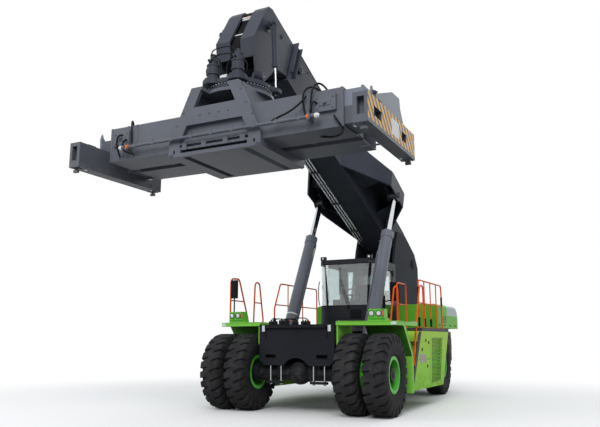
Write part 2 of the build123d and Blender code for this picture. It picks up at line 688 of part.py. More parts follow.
head_rear = boom_front + 40
head_outline = [(head_rear, inner_high), (9560, 690), (9700, 620), (9760, 480), (9885, -394), (9500, -1030),
                (9366, -1089), (9230, -980), (8950, -350), (head_rear, inner_low)]
head_x = (inner_half, inner_half + head_plate)
head = fused([boom_side(side, head_outline) for side in (head_x, (-head_x[1], -head_x[0]))])
head += boom_block((-inner_half, inner_half), (head_start, 9560), (inner_high - 40, inner_high))
channel_half = 120            # the hoses run down the open channel between two front flanges
flange = [(9540, 690), (9700, 620), (9760, 480), (9885, -394), (9700, -710), (9650, -680), (9835, -390),
          (9712, 470), (9660, 580), (9540, 640)]
for side in (-1, 1):
    head += boom_side(sorted((side * channel_half, side * inner_half)), flange)
head += boom_side((-inner_half, inner_half), [(9500, inner_high), (9560, inner_high - 30), (9640, 100), (9590, 100),
                                              (9500, 560)])
head += boom_side((-inner_half, inner_half), [(head_start, inner_low), (8950, -280), (9060, -560), (9110, -540),
                                              (8990, -240), (head_start, inner_low + 40)])
tilt_half = 20
for side in (-1, 1):
    head += boom_round(sorted((side * head_x[1], side * (tilt_track - tilt_barrel_radius - 24))), tilt_pin_s,
                       tilt_pin_w, 105)
    head += boom_round(sorted((side * head_x[1], side * (tilt_track - tilt_half - 5))), tilt_pin_s, tilt_pin_w, 50)
    head += boom_round(sorted((side * head_x[1], side * (tilt_track + tilt_half + 25))), tilt_pin_s, tilt_pin_w, 32)
    head += boom_round(sorted((side * 290, side * (head_x[1] + 25))), head_pin_s, head_pin_w, 50)
    head += boom_round(sorted((side * head_x[1], side * (head_x[1] + 25))), head_pin_s, head_pin_w, 95)
keep("boom_head", on_boom(head))


# ---------------------------------------------------------------- cylinders
def cylinder_barrel(length, radius, bore, bore_start, rod_radius, eye_radius, eye_width, pin_radius):
    """Barrel standing on its foot eye, along +Z, with its bore open for the rod."""
    gland = radius + 14
    gland_length = 1.2 * gland
    whole = round_z((eye_radius, length), 0, 0, radius) + round_z((length - gland_length, length), 0, 0, gland)
    whole -= round_z((bore_start, length - gland_length), 0, 0, bore)
    whole -= round_z((length - gland_length - 1, length + 1), 0, 0, rod_radius + fit)
    whole += Rot(0, 90, 0) * Cylinder(eye_radius, eye_width)
    neck = (0, 1.25 * eye_radius)
    whole += block((-eye_width / 2, eye_width / 2), (-0.7 * eye_radius, 0.7 * eye_radius), neck)
    return whole - Rot(0, 90, 0) * Cylinder(pin_radius + fit, 2 * eye_width)


lift_top_y, lift_top_z = boom_point(lift_eye_s, lift_eye_w)
lift_length = hypot(lift_top_y - lift_foot_y, lift_top_z - lift_foot_z)
lift_lean = degrees(atan2(lift_top_y - lift_foot_y, lift_top_z - lift_foot_z))
lift_bore = 120


def at_lift_foot(piece):
    return Pos(lift_track, lift_foot_y, lift_foot_z) * Rot(-lift_lean, 0, 0) * piece


keep("lift_barrels", both(at_lift_foot(cylinder_barrel(lift_barrel_length, lift_barrel_radius, lift_bore, 260,
                                                       lift_rod_radius, lift_eye_radius, lift_eye_width, 60))))
piston = (1200, 1270)
lift_rod = Pos(0, 0, (piston[0] + lift_length) / 2) * Cylinder(lift_rod_radius, lift_length - piston[0])
lift_rod += Pos(0, 0, sum(piston) / 2) * Cylinder(lift_bore - fit, piston[1] - piston[0])
lift_rod += Pos(0, 0, lift_length) * Rot(0, 90, 0) * Cylinder(lift_eye_radius, lift_eye_width)
keep("lift_rods", both(at_lift_foot(lift_rod)))

tilt_y, tilt_z = boom_point(tilt_pin_s, tilt_pin_w)
table_y, table_z = -2350, slew_plate_top - 50        # lower pin, on the slewing head
tilt_length = hypot(table_y - tilt_y, table_z - tilt_z)
tilt_lean = degrees(atan2(table_y - tilt_y, tilt_z - table_z))
tilt_barrel_length = 900
tilt_bore = 38


def at_tilt_top(piece):
    return Pos(tilt_track, tilt_y, tilt_z) * Rot(180 + tilt_lean, 0, 0) * piece


keep("tilt_barrels", both(at_tilt_top(cylinder_barrel(tilt_barrel_length, tilt_barrel_radius, tilt_bore, 110,
                                                      tilt_rod_radius, 62, 2 * tilt_half, 32))))
tilt_piston = (560, 600)
tilt_rod = Pos(0, 0, (tilt_piston[0] + tilt_length) / 2) * Cylinder(tilt_rod_radius, tilt_length - tilt_piston[0])
tilt_rod += Pos(0, 0, sum(tilt_piston) / 2) * Cylinder(tilt_bore - fit, tilt_piston[1] - tilt_piston[0])
tilt_rod += Pos(0, 0, tilt_length) * Rot(0, 90, 0) * Cylinder(55, 2 * tilt_half)
keep("tilt_rods", both(at_tilt_top(tilt_rod)))

# ---------------------------------------------------------------- slewing head
head_pin_y, head_pin_z = boom_point(head_pin_s, head_pin_w)
motor_x = 270
motor_y = spreader_y - 510
table = round_z((slew_plate_bottom, slew_plate_top), 0, spreader_y, slew_ring_radius + 20)
for side in (-1, 1):
    table += round_z((slew_plate_bottom, slew_plate_top), side * motor_x, motor_y, 190)
    outline = [(side * 200, spreader_y), (side * 500, spreader_y - 100), (side * 700, table_y - 60),
               (side * 700, table_y + 60), (side * 400, table_y + 130), (side * 200, table_y + 130)]
    table += prism_z((slew_plate_bottom, slew_plate_top), outline)
    for low in (tilt_track - tilt_half - 30, tilt_track + tilt_half + 5):
        x = sorted((side * low, side * (low + 25)))
        table += round_x(x, table_y, table_z, 62)
    table -= block(sorted((side * (tilt_track - tilt_half - 5), side * (tilt_track + tilt_half + 5))),
                   (table_y - 170, table_y + 200), (slew_plate_bottom - 1, slew_plate_top + 1))
    x = sorted((side * 300, side * 368))
    table += prism_x(x, [(spreader_y - 250, slew_plate_top - 10), (head_pin_y - 100, head_pin_z),
                         (head_pin_y + 100, head_pin_z), (spreader_y + 330, slew_plate_top - 10)])
    table += round_x(x, head_pin_y, head_pin_z, 108)
table -= round_x((-400, 400), head_pin_y, head_pin_z, 50 + fit)
table += (round_z((slew_ring_bottom, slew_plate_bottom), 0, spreader_y, slew_ring_radius)
          - round_z((slew_ring_bottom - 1, slew_plate_bottom + 1), 0, spreader_y, slew_ring_radius - 130))
keep("slewing_head", table)

motors = []
motor_steps = ((0, 40, 165), (40, 130, 105), (130, 170, 125), (170, 300, 112), (300, 330, 122), (330, 420, 88),
               (420, 540, 60))        # low and high above the plate, radius
for side in (-1, 1):
    motors.append(fused([round_z((slew_plate_top + low, slew_plate_top + high), side * motor_x, motor_y, radius)
                         for low, high, radius in motor_steps]))
keep("slewing_motors", motors)

# ---------------------------------------------------------------- spreader
front_y = spreader_y - tunnel_far
rear_y = spreader_y + tunnel_far
play = 10                     # centre frame around the beams
leg = 80                      # thickness of the frame's faces
leg_top = (270, 500)          # x of each leg's inner and outer edge, where it meets the ring plate
leg_foot = (720, 960)
knee_z = 5000
top_plate = slew_ring_bottom - fit
plate_low = top_plate - 60
frame_bottom = seat_z + 15
centre = round_z((plate_low, top_plate), 0, spreader_y, slew_ring_radius + 60)
faces_y = (front_y - play - leg, rear_y + play + leg)
for side in (-1, 1):
    x = sorted((side * leg_top[0], side * leg_top[1]))
    centre += block(x, faces_y, (plate_low, top_plate))
for faces in ((faces_y[0], faces_y[0] + leg), (faces_y[1] - leg, faces_y[1])):
    for side in (-1, 1):
        (top_in, top_out), (foot_in, foot_out) = [[side * x for x in edge] for edge in (leg_top, leg_foot)]
        centre += prism_y(faces, [(top_in, top_plate - 1), (top_out, top_plate - 1), (foot_out, knee_z),
                                  (foot_out, frame_bottom), (foot_in, frame_bottom), (foot_in, knee_z)])
    centre += prism_y(faces, [(-500, 5620), (500, 5620), (560, 5590), (690, 5360), (610, 5300), (-610, 5300),
                              (-690, 5360), (-560, 5590)])
    centre += block((-leg_foot[1], leg_foot[1]), faces, (frame_bottom, 4800))
for low in (4860, 4950):      # slide rails across the front, between the feet
    centre += block((-leg_foot[0] - 1, leg_foot[0] + 1), (faces_y[0] + 10, faces_y[0] + 60), (low, low + 42))
for side in (-1, 1):
    centre += block(sorted((side * 700, side * leg_foot[1])), faces_y, (frame_bottom, tunnel_bottom - fit))
    centre += block(sorted((side * 480, side * 620)), (front_y - play, rear_y + play),
                    (tunnel_top + play, tunnel_top + play + 60))
    centre += block(sorted((side * 480, side * 560)), (front_y - play, rear_y + play),
                    (tunnel_top + play + 60, top_plate - 30))
    centre -= block(sorted((side * 820, side * 860)), (faces_y[0] - 1, faces_y[0] + 50), (4800, 4860))
pan_rim = tunnel_bottom - 30
centre += prism_y((front_y - play, rear_y + play), [(-701, pan_rim), (-701, pan_rim - 20), (-560, frame_bottom),
                                                    (560, frame_bottom), (701, pan_rim - 20), (701, pan_rim)])
centre += round_z((top_plate - 1, top_plate + 70), 0, spreader_y, slew_ring_radius - 130 - fit)
keep("spreader_frame", centre)

tunnels = []
for near, far in ((-tunnel_near, -tunnel_far), (tunnel_near, tunnel_far)):
    y = sorted((spreader_y + near, spreader_y + far))
    tunnel = block((-tunnel_half, tunnel_half), y, (tunnel_bottom, tunnel_top))
    tunnel -= block((-tunnel_half - 1, tunnel_half + 1), (y[0] + tunnel_wall, y[1] - tunnel_wall),
                    (tunnel_bottom + tunnel_wall, tunnel_top - tunnel_wall))
    tunnels.append(tunnel)
beams = fused(tunnels)
for x in (-tunnel_half + 30, -1550, 0, 1550, tunnel_half - 30):
    beams += block((x - 30, x + 30), (spreader_y - tunnel_near - 1, spreader_y + tunnel_near + 1),
                   (tunnel_bottom + 40, tunnel_top - 40))
front_pipe = (-1950, 1950)
pipe_y = front_y - play - leg - 60
beams += bar((front_pipe[0], pipe_y, 5060), (front_pipe[1], pipe_y, 5060), 30)
for side in (-1, 1):
    x = side * (front_pipe[1] - 50)
    beams += block((x - 25, x + 25), (pipe_y - 40, front_y + 1), (5000, 5120))
    beams += bar((side * front_pipe[1], pipe_y, 5060), (side * (front_pipe[1] + 60), pipe_y, 5060), 42)
    x = sorted((side * 1950, side * 2330))    # cover of the beam's drive, on the tunnel's end
    beams += block(x, (front_y - 55, front_y + 1), (5150, 5430))
keep("spreader_beams", beams)


def end_assembly(side):
    """Telescopic beam, end beam, gussets and twistlocks of one end; side is 1 for the left end."""
    near, far = side * -tunnel_near, side * -tunnel_far
    y = sorted((spreader_y + near, spreader_y + far))
    inset = tunnel_wall + beam_play
    beam_y = (y[0] + inset, y[1] - inset)
    beam_z = (tunnel_bottom + inset, tunnel_top - inset)
    inner_end = -1900
    beam = block((inner_end, end_inner + 5), beam_y, beam_z)
    beam -= block((inner_end - 1, end_inner - 80), (beam_y[0] + 16, beam_y[1] - 16), (beam_z[0] + 16, beam_z[1] - 16))
    pad = (inner_end, inner_end + 200)
    beam += block(pad, (beam_y[0] + 60, beam_y[1] - 60), (tunnel_bottom + tunnel_wall + fit, beam_z[0] + 1))
    beam += block(pad, (beam_y[0] + 60, beam_y[1] - 60), (beam_z[1] - 1, tunnel_top - tunnel_wall - fit))
    ends = (spreader_y - half_length_y, spreader_y + half_length_y)
    beam += block((end_inner, end_outer), ends, (seat_z, end_beam_top))
    for window_y, reach in ((spreader_y - 775, 180), (spreader_y + 583, 130)):
        beam -= block((end_outer - 90, end_outer + 1), (window_y - reach, window_y + reach), (4890, 5050))
    for window_y in (ends[0] - 1, ends[1] - 119):
        beam -= block((end_inner + 70, end_inner + 190), (window_y, window_y + 120), (4850, 5130))
    beam += block((end_inner - 40, end_inner + 1), (beam_y[0] - 5, beam_y[1] + 5), (beam_z[0] - 40, beam_z[1] + 30))
    fin = [(spreader_y - 600, end_beam_top - 5), (spreader_y - 560, 5400), (spreader_y + 440, 5790),
           (spreader_y + 860, 5810), (spreader_y + 900, 5620), (ends[1] - 20, end_beam_top - 5)]
    beam += prism_x((end_inner + 60, end_inner + 100), fin)
    for corner in (spreader_y - corner_y, spreader_y + corner_y):
        beam += round_z((seat_z - 40, seat_z + 1), corner_x, corner, 30)
        beam += Pos(corner_x, corner, seat_z - 65) * Box(100, 58, 50)
    guide = (spreader_y - 600, spreader_y - 520)    # pointed guide that stands on the end beam
    beam += prism_x((end_inner + 60, end_inner + 100), [(guide[0], end_beam_top - 5), (guide[0] - 10, 5430),
                                                        (guide[0] + 25, 5540), (guide[1] - 20, 5430),
                                                        (guide[1], end_beam_top - 5)])
    return beam


keep("end_beam_left", end_assembly(1))
keep("end_beam_right", mirror(end_assembly(-1), Plane.YZ))
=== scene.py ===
# Reach stacker: a container handler with a telescopic boom and a spreader for 20 and 40 ft boxes.
# Metres in the row frame: Z is up and 0 is the ground, the machine looks along -Y, and +X is its left.
import random
from math import cos, pi, radians, sin, tau

import bmesh
import bpy
from mathutils import Matrix, Vector


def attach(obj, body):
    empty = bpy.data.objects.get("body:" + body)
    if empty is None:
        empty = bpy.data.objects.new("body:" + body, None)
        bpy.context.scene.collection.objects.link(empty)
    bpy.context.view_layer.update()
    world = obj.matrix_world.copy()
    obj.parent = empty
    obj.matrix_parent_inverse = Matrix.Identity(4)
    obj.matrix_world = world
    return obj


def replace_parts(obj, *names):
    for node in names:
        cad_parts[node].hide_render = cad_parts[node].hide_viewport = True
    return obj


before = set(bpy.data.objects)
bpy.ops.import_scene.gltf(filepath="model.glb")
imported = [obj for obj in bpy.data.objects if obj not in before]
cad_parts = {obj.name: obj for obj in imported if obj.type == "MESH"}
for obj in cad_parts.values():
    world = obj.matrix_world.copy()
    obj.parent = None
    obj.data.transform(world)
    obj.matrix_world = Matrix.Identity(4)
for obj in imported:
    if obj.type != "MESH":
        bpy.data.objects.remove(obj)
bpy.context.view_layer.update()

# ---------------------------------------------------------------- studio
# A pale floor that fades into white, two large soft lamps in front and one behind, and a low, near
# viewpoint at the machine's front left, from where it towers over the viewer.
scene = bpy.context.scene
scene.view_settings.view_transform = "Standard"


def placed(name, data, place=(0, 0, 0)):
    """An object in the scene that shows some data."""
    holder = bpy.data.objects.new(name, data)
    holder.location = place
    scene.collection.objects.link(holder)
    return holder


lens = bpy.data.cameras.new("viewpoint")
lens.lens, lens.sensor_width, lens.clip_end = 38.29, 36, 400
scene.camera = placed("viewpoint", lens, (6.157, -14.220, 1.526))
scene.camera.rotation_euler = (radians(101.07), 0, radians(26.40))
for name, place, size, power in (("key_lamp", (7, -21, 18), 12, 3600), ("fill_lamp", (-15, -14, 9), 10, 700),
                                 ("rear_lamp", (4, 18, 14), 10, 900)):
    lamp = bpy.data.lights.new(name, "AREA")
    lamp.size, lamp.energy = size, power
    towards = Vector((0, 0, 3)) - Vector(place)
    placed(name, lamp, place).rotation_euler = towards.to_track_quat("-Z", "Y").to_euler()


def worked(operation, reflected=False):
    """A method of Wire that adds one Math node."""
    def method(self, other=0.0):
        values = (other, self) if reflected else (self, other)
        return add_node(self.socket.id_data, "ShaderNodeMath", {"operation": operation}, dict(enumerate(values)))
    return method


class Wire:
    """An output of a shader node, on which maths is written as plain expressions."""
    __add__ = __radd__ = worked("ADD")
    __sub__, __rsub__ = worked("SUBTRACT"), worked("SUBTRACT", reflected=True)
    __mul__ = __rmul__ = worked("MULTIPLY")
    __mod__, __pow__, __abs__ = worked("FLOORED_MODULO"), worked("POWER"), worked("ABSOLUTE")
    __gt__, __lt__, most = worked("GREATER_THAN"), worked("LESS_THAN"), worked("MAXIMUM")

    def __init__(self, socket):
        self.socket = socket


def add_node(tree, kind, settings=None, inputs=None, output=0):
    """Adds a shader node: first its settings, then the values or wires of its sockets."""
    node = tree.nodes.new(kind)
    for name, value in (settings or {}).items():
        setattr(node, name, value)
    for name, value in (inputs or {}).items():
        if isinstance(value, Wire):
            tree.links.new(value.socket, node.inputs[name])
        else:
            node.inputs[name].default_value = value
    return Wire(node.outputs[output])


def seen_white(tree):
    """1 on the rays that show the background: straight to the eye, in gloss and through glass."""
    path = add_node(tree, "ShaderNodeLightPath").socket.node
    seen = Wire(path.outputs["Is Camera Ray"]) + Wire(path.outputs["Is Glossy Ray"])
    return seen + Wire(path.outputs["Is Transmission Ray"])


white, sky_blue, sky_light = (1, 1, 1, 1), (0.93, 0.96, 1.0, 1), 0.62
sky = scene.world = bpy.data.worlds.new("soft_white_sky")
sky.use_nodes = True
seen = seen_white(sky.node_tree)
strength = add_node(sky.node_tree, "ShaderNodeMapRange", None, {"Value": seen, "To Min": sky_light, "To Max": 1.0})
colour = add_node(sky.node_tree, "ShaderNodeMix", {"data_type": "RGBA"}, {0: seen, 6: sky_blue, 7: white}, 2)
for socket, wire in (("Color", colour), ("Strength", strength)):
    sky.node_tree.links.new(wire.socket, sky.node_tree.nodes["Background"].inputs[socket])


def srgb(red, green, blue):
    """A colour given in screen values, as the shader wants it."""
    return (*((v / 255 / 12.92 if v < 10.3 else ((v / 255 + 0.055) / 1.055) ** 2.4) for v in (red, green, blue)), 1)


class Finish:
    """A material: what is the same all over is set on the shader, what varies is wired to it."""

    def __init__(self, name, **constants):
        self.material = bpy.data.materials.new(name)
        self.material.use_nodes = True
        self.tree = self.material.node_tree
        self.shader = self.tree.nodes["Principled BSDF"]
        for socket, value in constants.items():
            self.shader.inputs[socket.replace("_", " ")].default_value = value
        where = self.node("ShaderNodeTexCoord").socket.node
        self.place, facing = Wire(where.outputs["Object"]), Wire(where.outputs["Normal"])
        self.x, self.y, self.z = self.axes(self.place)
        self.side, _, self.up = self.axes(facing)

    def node(self, kind, settings=None, inputs=None, output=0):
        return add_node(self.tree, kind, settings, inputs, output)

    def axes(self, vector):
        return [Wire(socket) for socket in self.node("ShaderNodeSeparateXYZ", None, {0: vector}).socket.node.outputs]

    def noise(self, scale, detail=3.0):
        return self.node("ShaderNodeTexNoise", None,
                         {"Vector": self.place, "Scale": scale, "Detail": detail, "Roughness": 0.55})

    def step(self, value, low, high):
        """0 below low, 1 above high, smooth between."""
        return self.node("ShaderNodeMapRange", {"interpolation_type": "SMOOTHSTEP"},
                         {"Value": value, "From Min": low, "From Max": high})

    def mix(self, share, first, second):
        """A colour between two colours; three numbers are screen values."""
        first, second = (srgb(*c) if isinstance(c, tuple) and len(c) == 3 else c for c in (first, second))
        return self.node("ShaderNodeMix", {"data_type": "RGBA"}, {0: share, 6: first, 7: second}, 2)

    def wire(self, **sockets):
        for socket, value in sockets.items():
            self.tree.links.new(value.socket, self.shader.inputs[socket.replace("_", " ")])
        return self

    def bumps(self, height, distance, strength=0.5):
        values = {"Height": height, "Distance": distance, "Strength": strength}
        return self.wire(Normal=self.node("ShaderNodeBump", None, values, "Normal"))


floor_half, fade_start, fade_end = 150, 7, 13
floor_bounce, floor_pale = (0.24, 0.24, 0.24, 1), (0.93, 0.93, 0.93, 1)
floor_mesh = bpy.data.meshes.new("floor")
floor_mesh.from_pydata([(x * floor_half, y * floor_half, 0) for x, y in ((-1, -1), (1, -1), (1, 1), (-1, 1))], [],
                       [(0, 1, 2, 3)])
floor = placed("floor", floor_mesh)
skin = Finish("pale_floor", Roughness=0.9, Specular_IOR_Level=0.1)
seen = seen_white(skin.tree)
skin.wire(Base_Color=skin.mix(seen, floor_bounce, floor_pale))
from_middle = skin.node("ShaderNodeVectorMath", {"operation": "LENGTH"}, {0: skin.place}, "Value")
glow = skin.node("ShaderNodeEmission", None, {"Color": white, "Strength": 1.0})
shown = skin.node("ShaderNodeMixShader", None, {0: skin.step(from_middle, fade_start, fade_end) * seen,
                                                1: Wire(skin.shader.outputs["BSDF"]), 2: glow})
skin.tree.links.new(shown.socket, skin.tree.nodes["Material Output"].inputs["Surface"])
floor_mesh.materials.append(skin.material)

# ---------------------------------------------------------------- axles and frame
# Welded steel girders, the drive axle with its round differential housing and the steer axle with
# its knuckles, all in black chassis paint that carries road dust on what faces up.
road_dust = (150, 146, 138)


def paint(name, colour, shade, dust_colour=road_dust, roughness=0.42, dust=0.35, grain=0.0006, shine=0.12):
    """Sprayed paint: soft patches of shade, dust on what faces up and near the ground, orange peel."""
    finish = Finish(name, Specular_IOR_Level=shine)
    patches = finish.step(finish.noise(0.9, 4), 0.35, 0.7)
    speckle = finish.noise(38, 2)
    toned = finish.mix(patches * 0.55 + speckle * 0.12, colour, shade)
    settled = finish.step(finish.up, 0.55, 0.95) * finish.step(finish.noise(5.5, 5), 0.3, 0.75)
    splashed = (1 - finish.step(finish.z, 0.1, 1.3)) * finish.step(finish.noise(9, 5), 0.42, 0.7)
    dusty = (settled * 0.6 + splashed * 0.7) * dust
    finish.wire(Base_Color=finish.mix(dusty, toned, dust_colour),
                Roughness=roughness + dusty * 0.35 + speckle * 0.10 - 0.05)
    return finish.bumps(finish.noise(160, 2), grain, 0.35)


def dress(finish, *names):
    """Gives CAD nodes their finish."""
    for name in names:
        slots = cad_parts[name].data.materials
        slots.clear()
        slots.append(finish.material)


chassis_black = paint("chassis_black", (33, 34, 38), (24, 25, 28), roughness=0.5, shine=0.1)
dress(chassis_black, "main_frame", "front_axle", "rear_axle", "knuckle_left", "knuckle_right")

# ---------------------------------------------------------------- engine
# Cast engine and gearbox that sit between the girders, under the hoods: dull iron grey, darkened in
# patches by an oil mist.
dress(paint("engine_iron", (96, 97, 98), (58, 58, 60), (60, 52, 42), roughness=0.62, dust=0.6), "engine_block")

# ---------------------------------------------------------------- tyres
# Six pneumatic tyres with deep grooves that run in from both shoulders and leave a whole rib in
# the middle. Hard black rubber, greyed by dust on the tread. They are mounted on the rims.
groove_count = 24
tread_slant = 0.35            # of a step between grooves, from the rib to the edge
land_parts = 5                # of the rubber between two grooves
tyre_half = 0.240
# x and radius of the rubber, x and radius of the groove's floor, from the bead to the middle
plain_rows = ((0.169, 0.331), (0.169, 0.371), (0.199, 0.384), (0.214, 0.420), (0.219, 0.424), (0.221, 0.440),
              (0.218, 0.446), (0.229, 0.500), (0.237, 0.560), (0.240, 0.606))
grooved_rows = ((0.239, 0.650, 0.230, 0.640), (0.235, 0.700, 0.214, 0.680), (0.228, 0.745, 0.197, 0.716),
                (0.216, 0.782, 0.180, 0.744), (0.196, 0.806, 0.163, 0.762), (0.168, 0.8135, 0.146, 0.771),
                (0.120, 0.8138, 0.115, 0.773), (0.080, 0.8139, 0.078, 0.774), (0.046, 0.8139, 0.052, 0.776),
                (0.034, 0.8139, 0.036, 0.812), (0.0, 0.8139, 0.0, 0.8139))
# place round the wheel within one step: its share of the groove's width, and how deep it lies
tyre_columns = ((0.0, 0.0), (0.08, 1.0), (0.5, 1.0), (0.92, 1.0), (1.0, 0.0))


def tyre_ring(side, start):
    """One half of a tyre as rows of points round the wheel, from the bead to the middle."""
    rows = []
    for x, radius, floor_x, floor_radius in (*(row * 2 for row in plain_rows), *grooved_rows):
        share = 0.24 + 0.20 * min(1, x / tyre_half)
        steps = [(share * place, depth) for place, depth in tyre_columns]
        steps += [(share + (1 - share) * part / land_parts, 0.0) for part in range(1, land_parts)]
        row = []
        for k in range(groove_count):
            for step, depth in steps:
                across, out = x + (floor_x - x) * depth, radius + (floor_radius - radius) * depth
                angle = (k + start + step - share / 2 + tread_slant * side * x / tyre_half) * tau / groove_count
                row.append((side * across, -out * cos(angle), out * sin(angle)))
        rows.append(row)
    return rows


def grid_faces(rows, first, flip):
    """Quads between rows of points that close on themselves."""
    count = len(rows[0])
    faces = []
    for i in range(len(rows) - 1):
        for j in range(count):
            a, b = first + i * count + j, first + i * count + (j + 1) % count
            faces.append((a, b, b + count, a + count) if flip else (b, a, a + count, b + count))
    return faces


def keep_piece(name, mesh, finish, body, smooth=None):
    """A mesh becomes a piece that rides on a body; faces meet smoothly below the angle given."""
    piece = placed(name, mesh)
    mesh.materials.append(finish.material)
    if smooth:
        mesh.shade_smooth()
        mesh.set_sharp_from_angle(angle=radians(smooth))
    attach(piece, body)
    return piece


rubber = Finish("tyre_rubber", Specular_IOR_Level=0.08)
worn = rubber.step(rubber.noise(2.2, 4), 0.35, 0.7)
dust = rubber.step(rubber.noise(7, 6), 0.40, 0.68)
rubber.wire(Base_Color=rubber.mix(dust * 0.22, rubber.mix(worn, (50, 50, 52), (38, 38, 40)), (92, 90, 88)),
            Roughness=0.66 + dust * 0.25)
rubber.bumps(rubber.noise(55, 3), 0.0015, 0.5)
axle_y = {"front": -1.720, "rear": 4.030}
wheel_z = 0.814
both_sides = (("left", 1), ("right", -1))
for name, side in both_sides:
    for end, body, centres in (("front", f"front_wheels_{name}", (1.250, 1.850)),
                               ("rear", f"rear_wheel_{name}", (1.400,))):
        verts, faces = [], []
        for centre in centres:
            for half, start in ((1, 0), (-1, 0.5)):
                rows = tyre_ring(half, start)
                faces += grid_faces(rows, len(verts), half > 0)
                verts += [(x + side * centre, y + axle_y[end], z + wheel_z) for row in rows for x, y, z in row]
        node = f"{end}_tyre{'s' if end == 'front' else ''}_{name}"
        mesh = bpy.data.meshes.new(f"grooved_{node}")
        mesh.from_pydata(verts, [], faces)
        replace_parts(keep_piece(mesh.name, mesh, rubber, body, smooth=28), node)

# ---------------------------------------------------------------- rims
# Pressed steel rims in green, with black hubs deep inside, held by rings of bright wheel nuts, and
# bolted hub caps.
nut = ((0, 0.024), (0.016, 0.024), (0.020, 0.020), (0.021, 0.012), (0.034, 0.012), (0.036, 0.009))
hub_cap = ((0, 0.185), (0.040, 0.185), (0.048, 0.178), (0.050, 0.150), (0.084, 0.144), (0.094, 0.132),
           (0.096, 0.060), (0.106, 0.055), (0.108, 0.0))
LEFT, AHEAD, UP, DOWN = (1, 0, 0), (0, -1, 0), (0, 0, 1), (0, 0, -1)


def rim_paint(end, middle_y):
    skin = Finish(f"rim_green_{end}", Specular_IOR_Level=0.3)
    across, up = skin.y - middle_y, skin.z - wheel_z
    radius = (across * across + up * up) ** 0.5
    hub = 1 - skin.step(radius, 0.205, 0.209)
    grime = skin.step(skin.noise(14, 5), 0.42, 0.72) * skin.step(radius, 0.36, 0.22)
    green = skin.mix(skin.noise(3, 3) * 0.5, (96, 208, 70), (74, 178, 52))
    skin.wire(Base_Color=skin.mix(hub, skin.mix(grime * 0.45, green, (72, 84, 52)), (30, 31, 34)),
              Roughness=0.34 + grime * 0.4)
    return skin.bumps(skin.noise(120, 2), 0.0008, 0.3)


def mottled(name, patches, first, second, gloss, share, base, **constants):
    """A finish in two mottled shades, its roughness uneven over a base."""
    finish = Finish(name, **constants)
    return finish.wire(Base_Color=finish.mix(finish.noise(*patches), first, second),
                       Roughness=finish.noise(*gloss) * share + base)


def turned(shape, profile, base, axis, steps=24, closed=True):
    """Adds a piece turned on a lathe to a bmesh: (along, radius) points about an axis from base."""
    axis = Vector(axis).normalized()
    side = axis.orthogonal().normalized()
    other = axis.cross(side)
    rings = []
    for along, radius in profile:
        middle = Vector(base) + axis * along
        rings.append([shape.verts.new(middle + (side * cos(a) + other * sin(a)) * radius)
                      for a in (tau * k / steps for k in range(steps))])
    for low, high in zip(rings, rings[1:]):
        for k in range(steps):
            shape.faces.new((low[k], low[(k + 1) % steps], high[(k + 1) % steps], high[k]))
    if closed:
        shape.faces.new(reversed(rings[0]))
        shape.faces.new(rings[-1])


def knob(radius, edge, top, top_radius):
    """Profile of a disc or pin with a broken edge."""
    return (0, radius), (edge, radius), (top, top_radius)


def around(count, radius, start=0.0):
    """Places evenly round a circle, from a share of a step."""
    return [(radius * cos(a), radius * sin(a)) for a in (tau * (k + start) / count for k in range(count))]


def on_side(shape, side):
    """Moves what is drawn on the machine's left to its right, where side is -1."""
    bmesh.ops.scale(shape, vec=(side, 1, 1), verts=shape.verts)
    return shape


def finished(shape, name, finish, body, smooth=35):
    """Turns a bmesh into a piece."""
    bmesh.ops.recalc_face_normals(shape, faces=shape.faces)
    mesh = bpy.data.meshes.new(name)
    shape.to_mesh(mesh)
    shape.free()
    return keep_piece(name, mesh, finish, body, smooth)


rim_paints = {end: rim_paint(end, y) for end, y in axle_y.items()}
steel = mottled("bright_steel", (18, 4), (196, 198, 200), (150, 150, 150), (26, 3), 0.25, 0.2, Metallic=1.0)
for name, side in both_sides:
    for end, body, disc_x, circle, count, hub_x in (("front", f"front_wheels_{name}", 1.640, 0.255, 20, 1.920),
                                                    ("rear", f"rear_wheel_{name}", 1.420, 0.235, 16, 1.500)):
        dress(rim_paints[end], f"{end}_wheel_{name}")
        nuts, cap = bmesh.new(), bmesh.new()
        for y, z in around(count, circle, 0.5):
            turned(nuts, nut, (disc_x, axle_y[end] + y, wheel_z + z), LEFT, steps=6)
        turned(cap, hub_cap, (hub_x, axle_y[end], wheel_z), LEFT, steps=40, closed=False)
        for y, z in around(10, 0.165):
            turned(cap, ((0.048, 0.012), (0.060, 0.012), (0.063, 0.009)), (hub_x, axle_y[end] + y, wheel_z + z), LEFT,
                   steps=6)
        finished(on_side(nuts, side), f"wheel_nuts_{end}_{name}", steel, body)
        finished(on_side(cap, side), f"hub_cap_{end}_{name}", chassis_black, body)

# ---------------------------------------------------------------- front plate
# Thick satin black plate across the nose, with a grab bar, two clear reflectors, gussets under the
# bar's ends and the four bright studs that clamp the axle.
plate_black = paint("plate_black", (34, 35, 41), (26, 27, 32), (96, 95, 94), dust=0.15, shine=0.1)
dress(plate_black, "front_plate")
hose_black = paint("hose_black", (24, 24, 26), (17, 17, 19), roughness=0.55, dust=0.12)
front = -2.020                # face of the plate
bar_z = 1.7625


def plate(shape, low, high, edge=0.004, turn=None):
    """Adds a plate with broken edges to a bmesh, from its lowest to its highest corner."""
    low, high = Vector(low), Vector(high)
    size = high - low
    place = (turn or Matrix()) @ Matrix.Translation((low + high) / 2)
    made = bmesh.ops.create_cube(shape, size=1, matrix=Matrix.Diagonal((*size, 1)))["verts"]
    edges = list({e for v in made for e in v.link_edges})
    made = bmesh.ops.bevel(shape, geom=edges, offset=min(edge, min(size) * 0.4), segments=1, affect="EDGES")["verts"]
    bmesh.ops.transform(shape, matrix=place, verts=made)


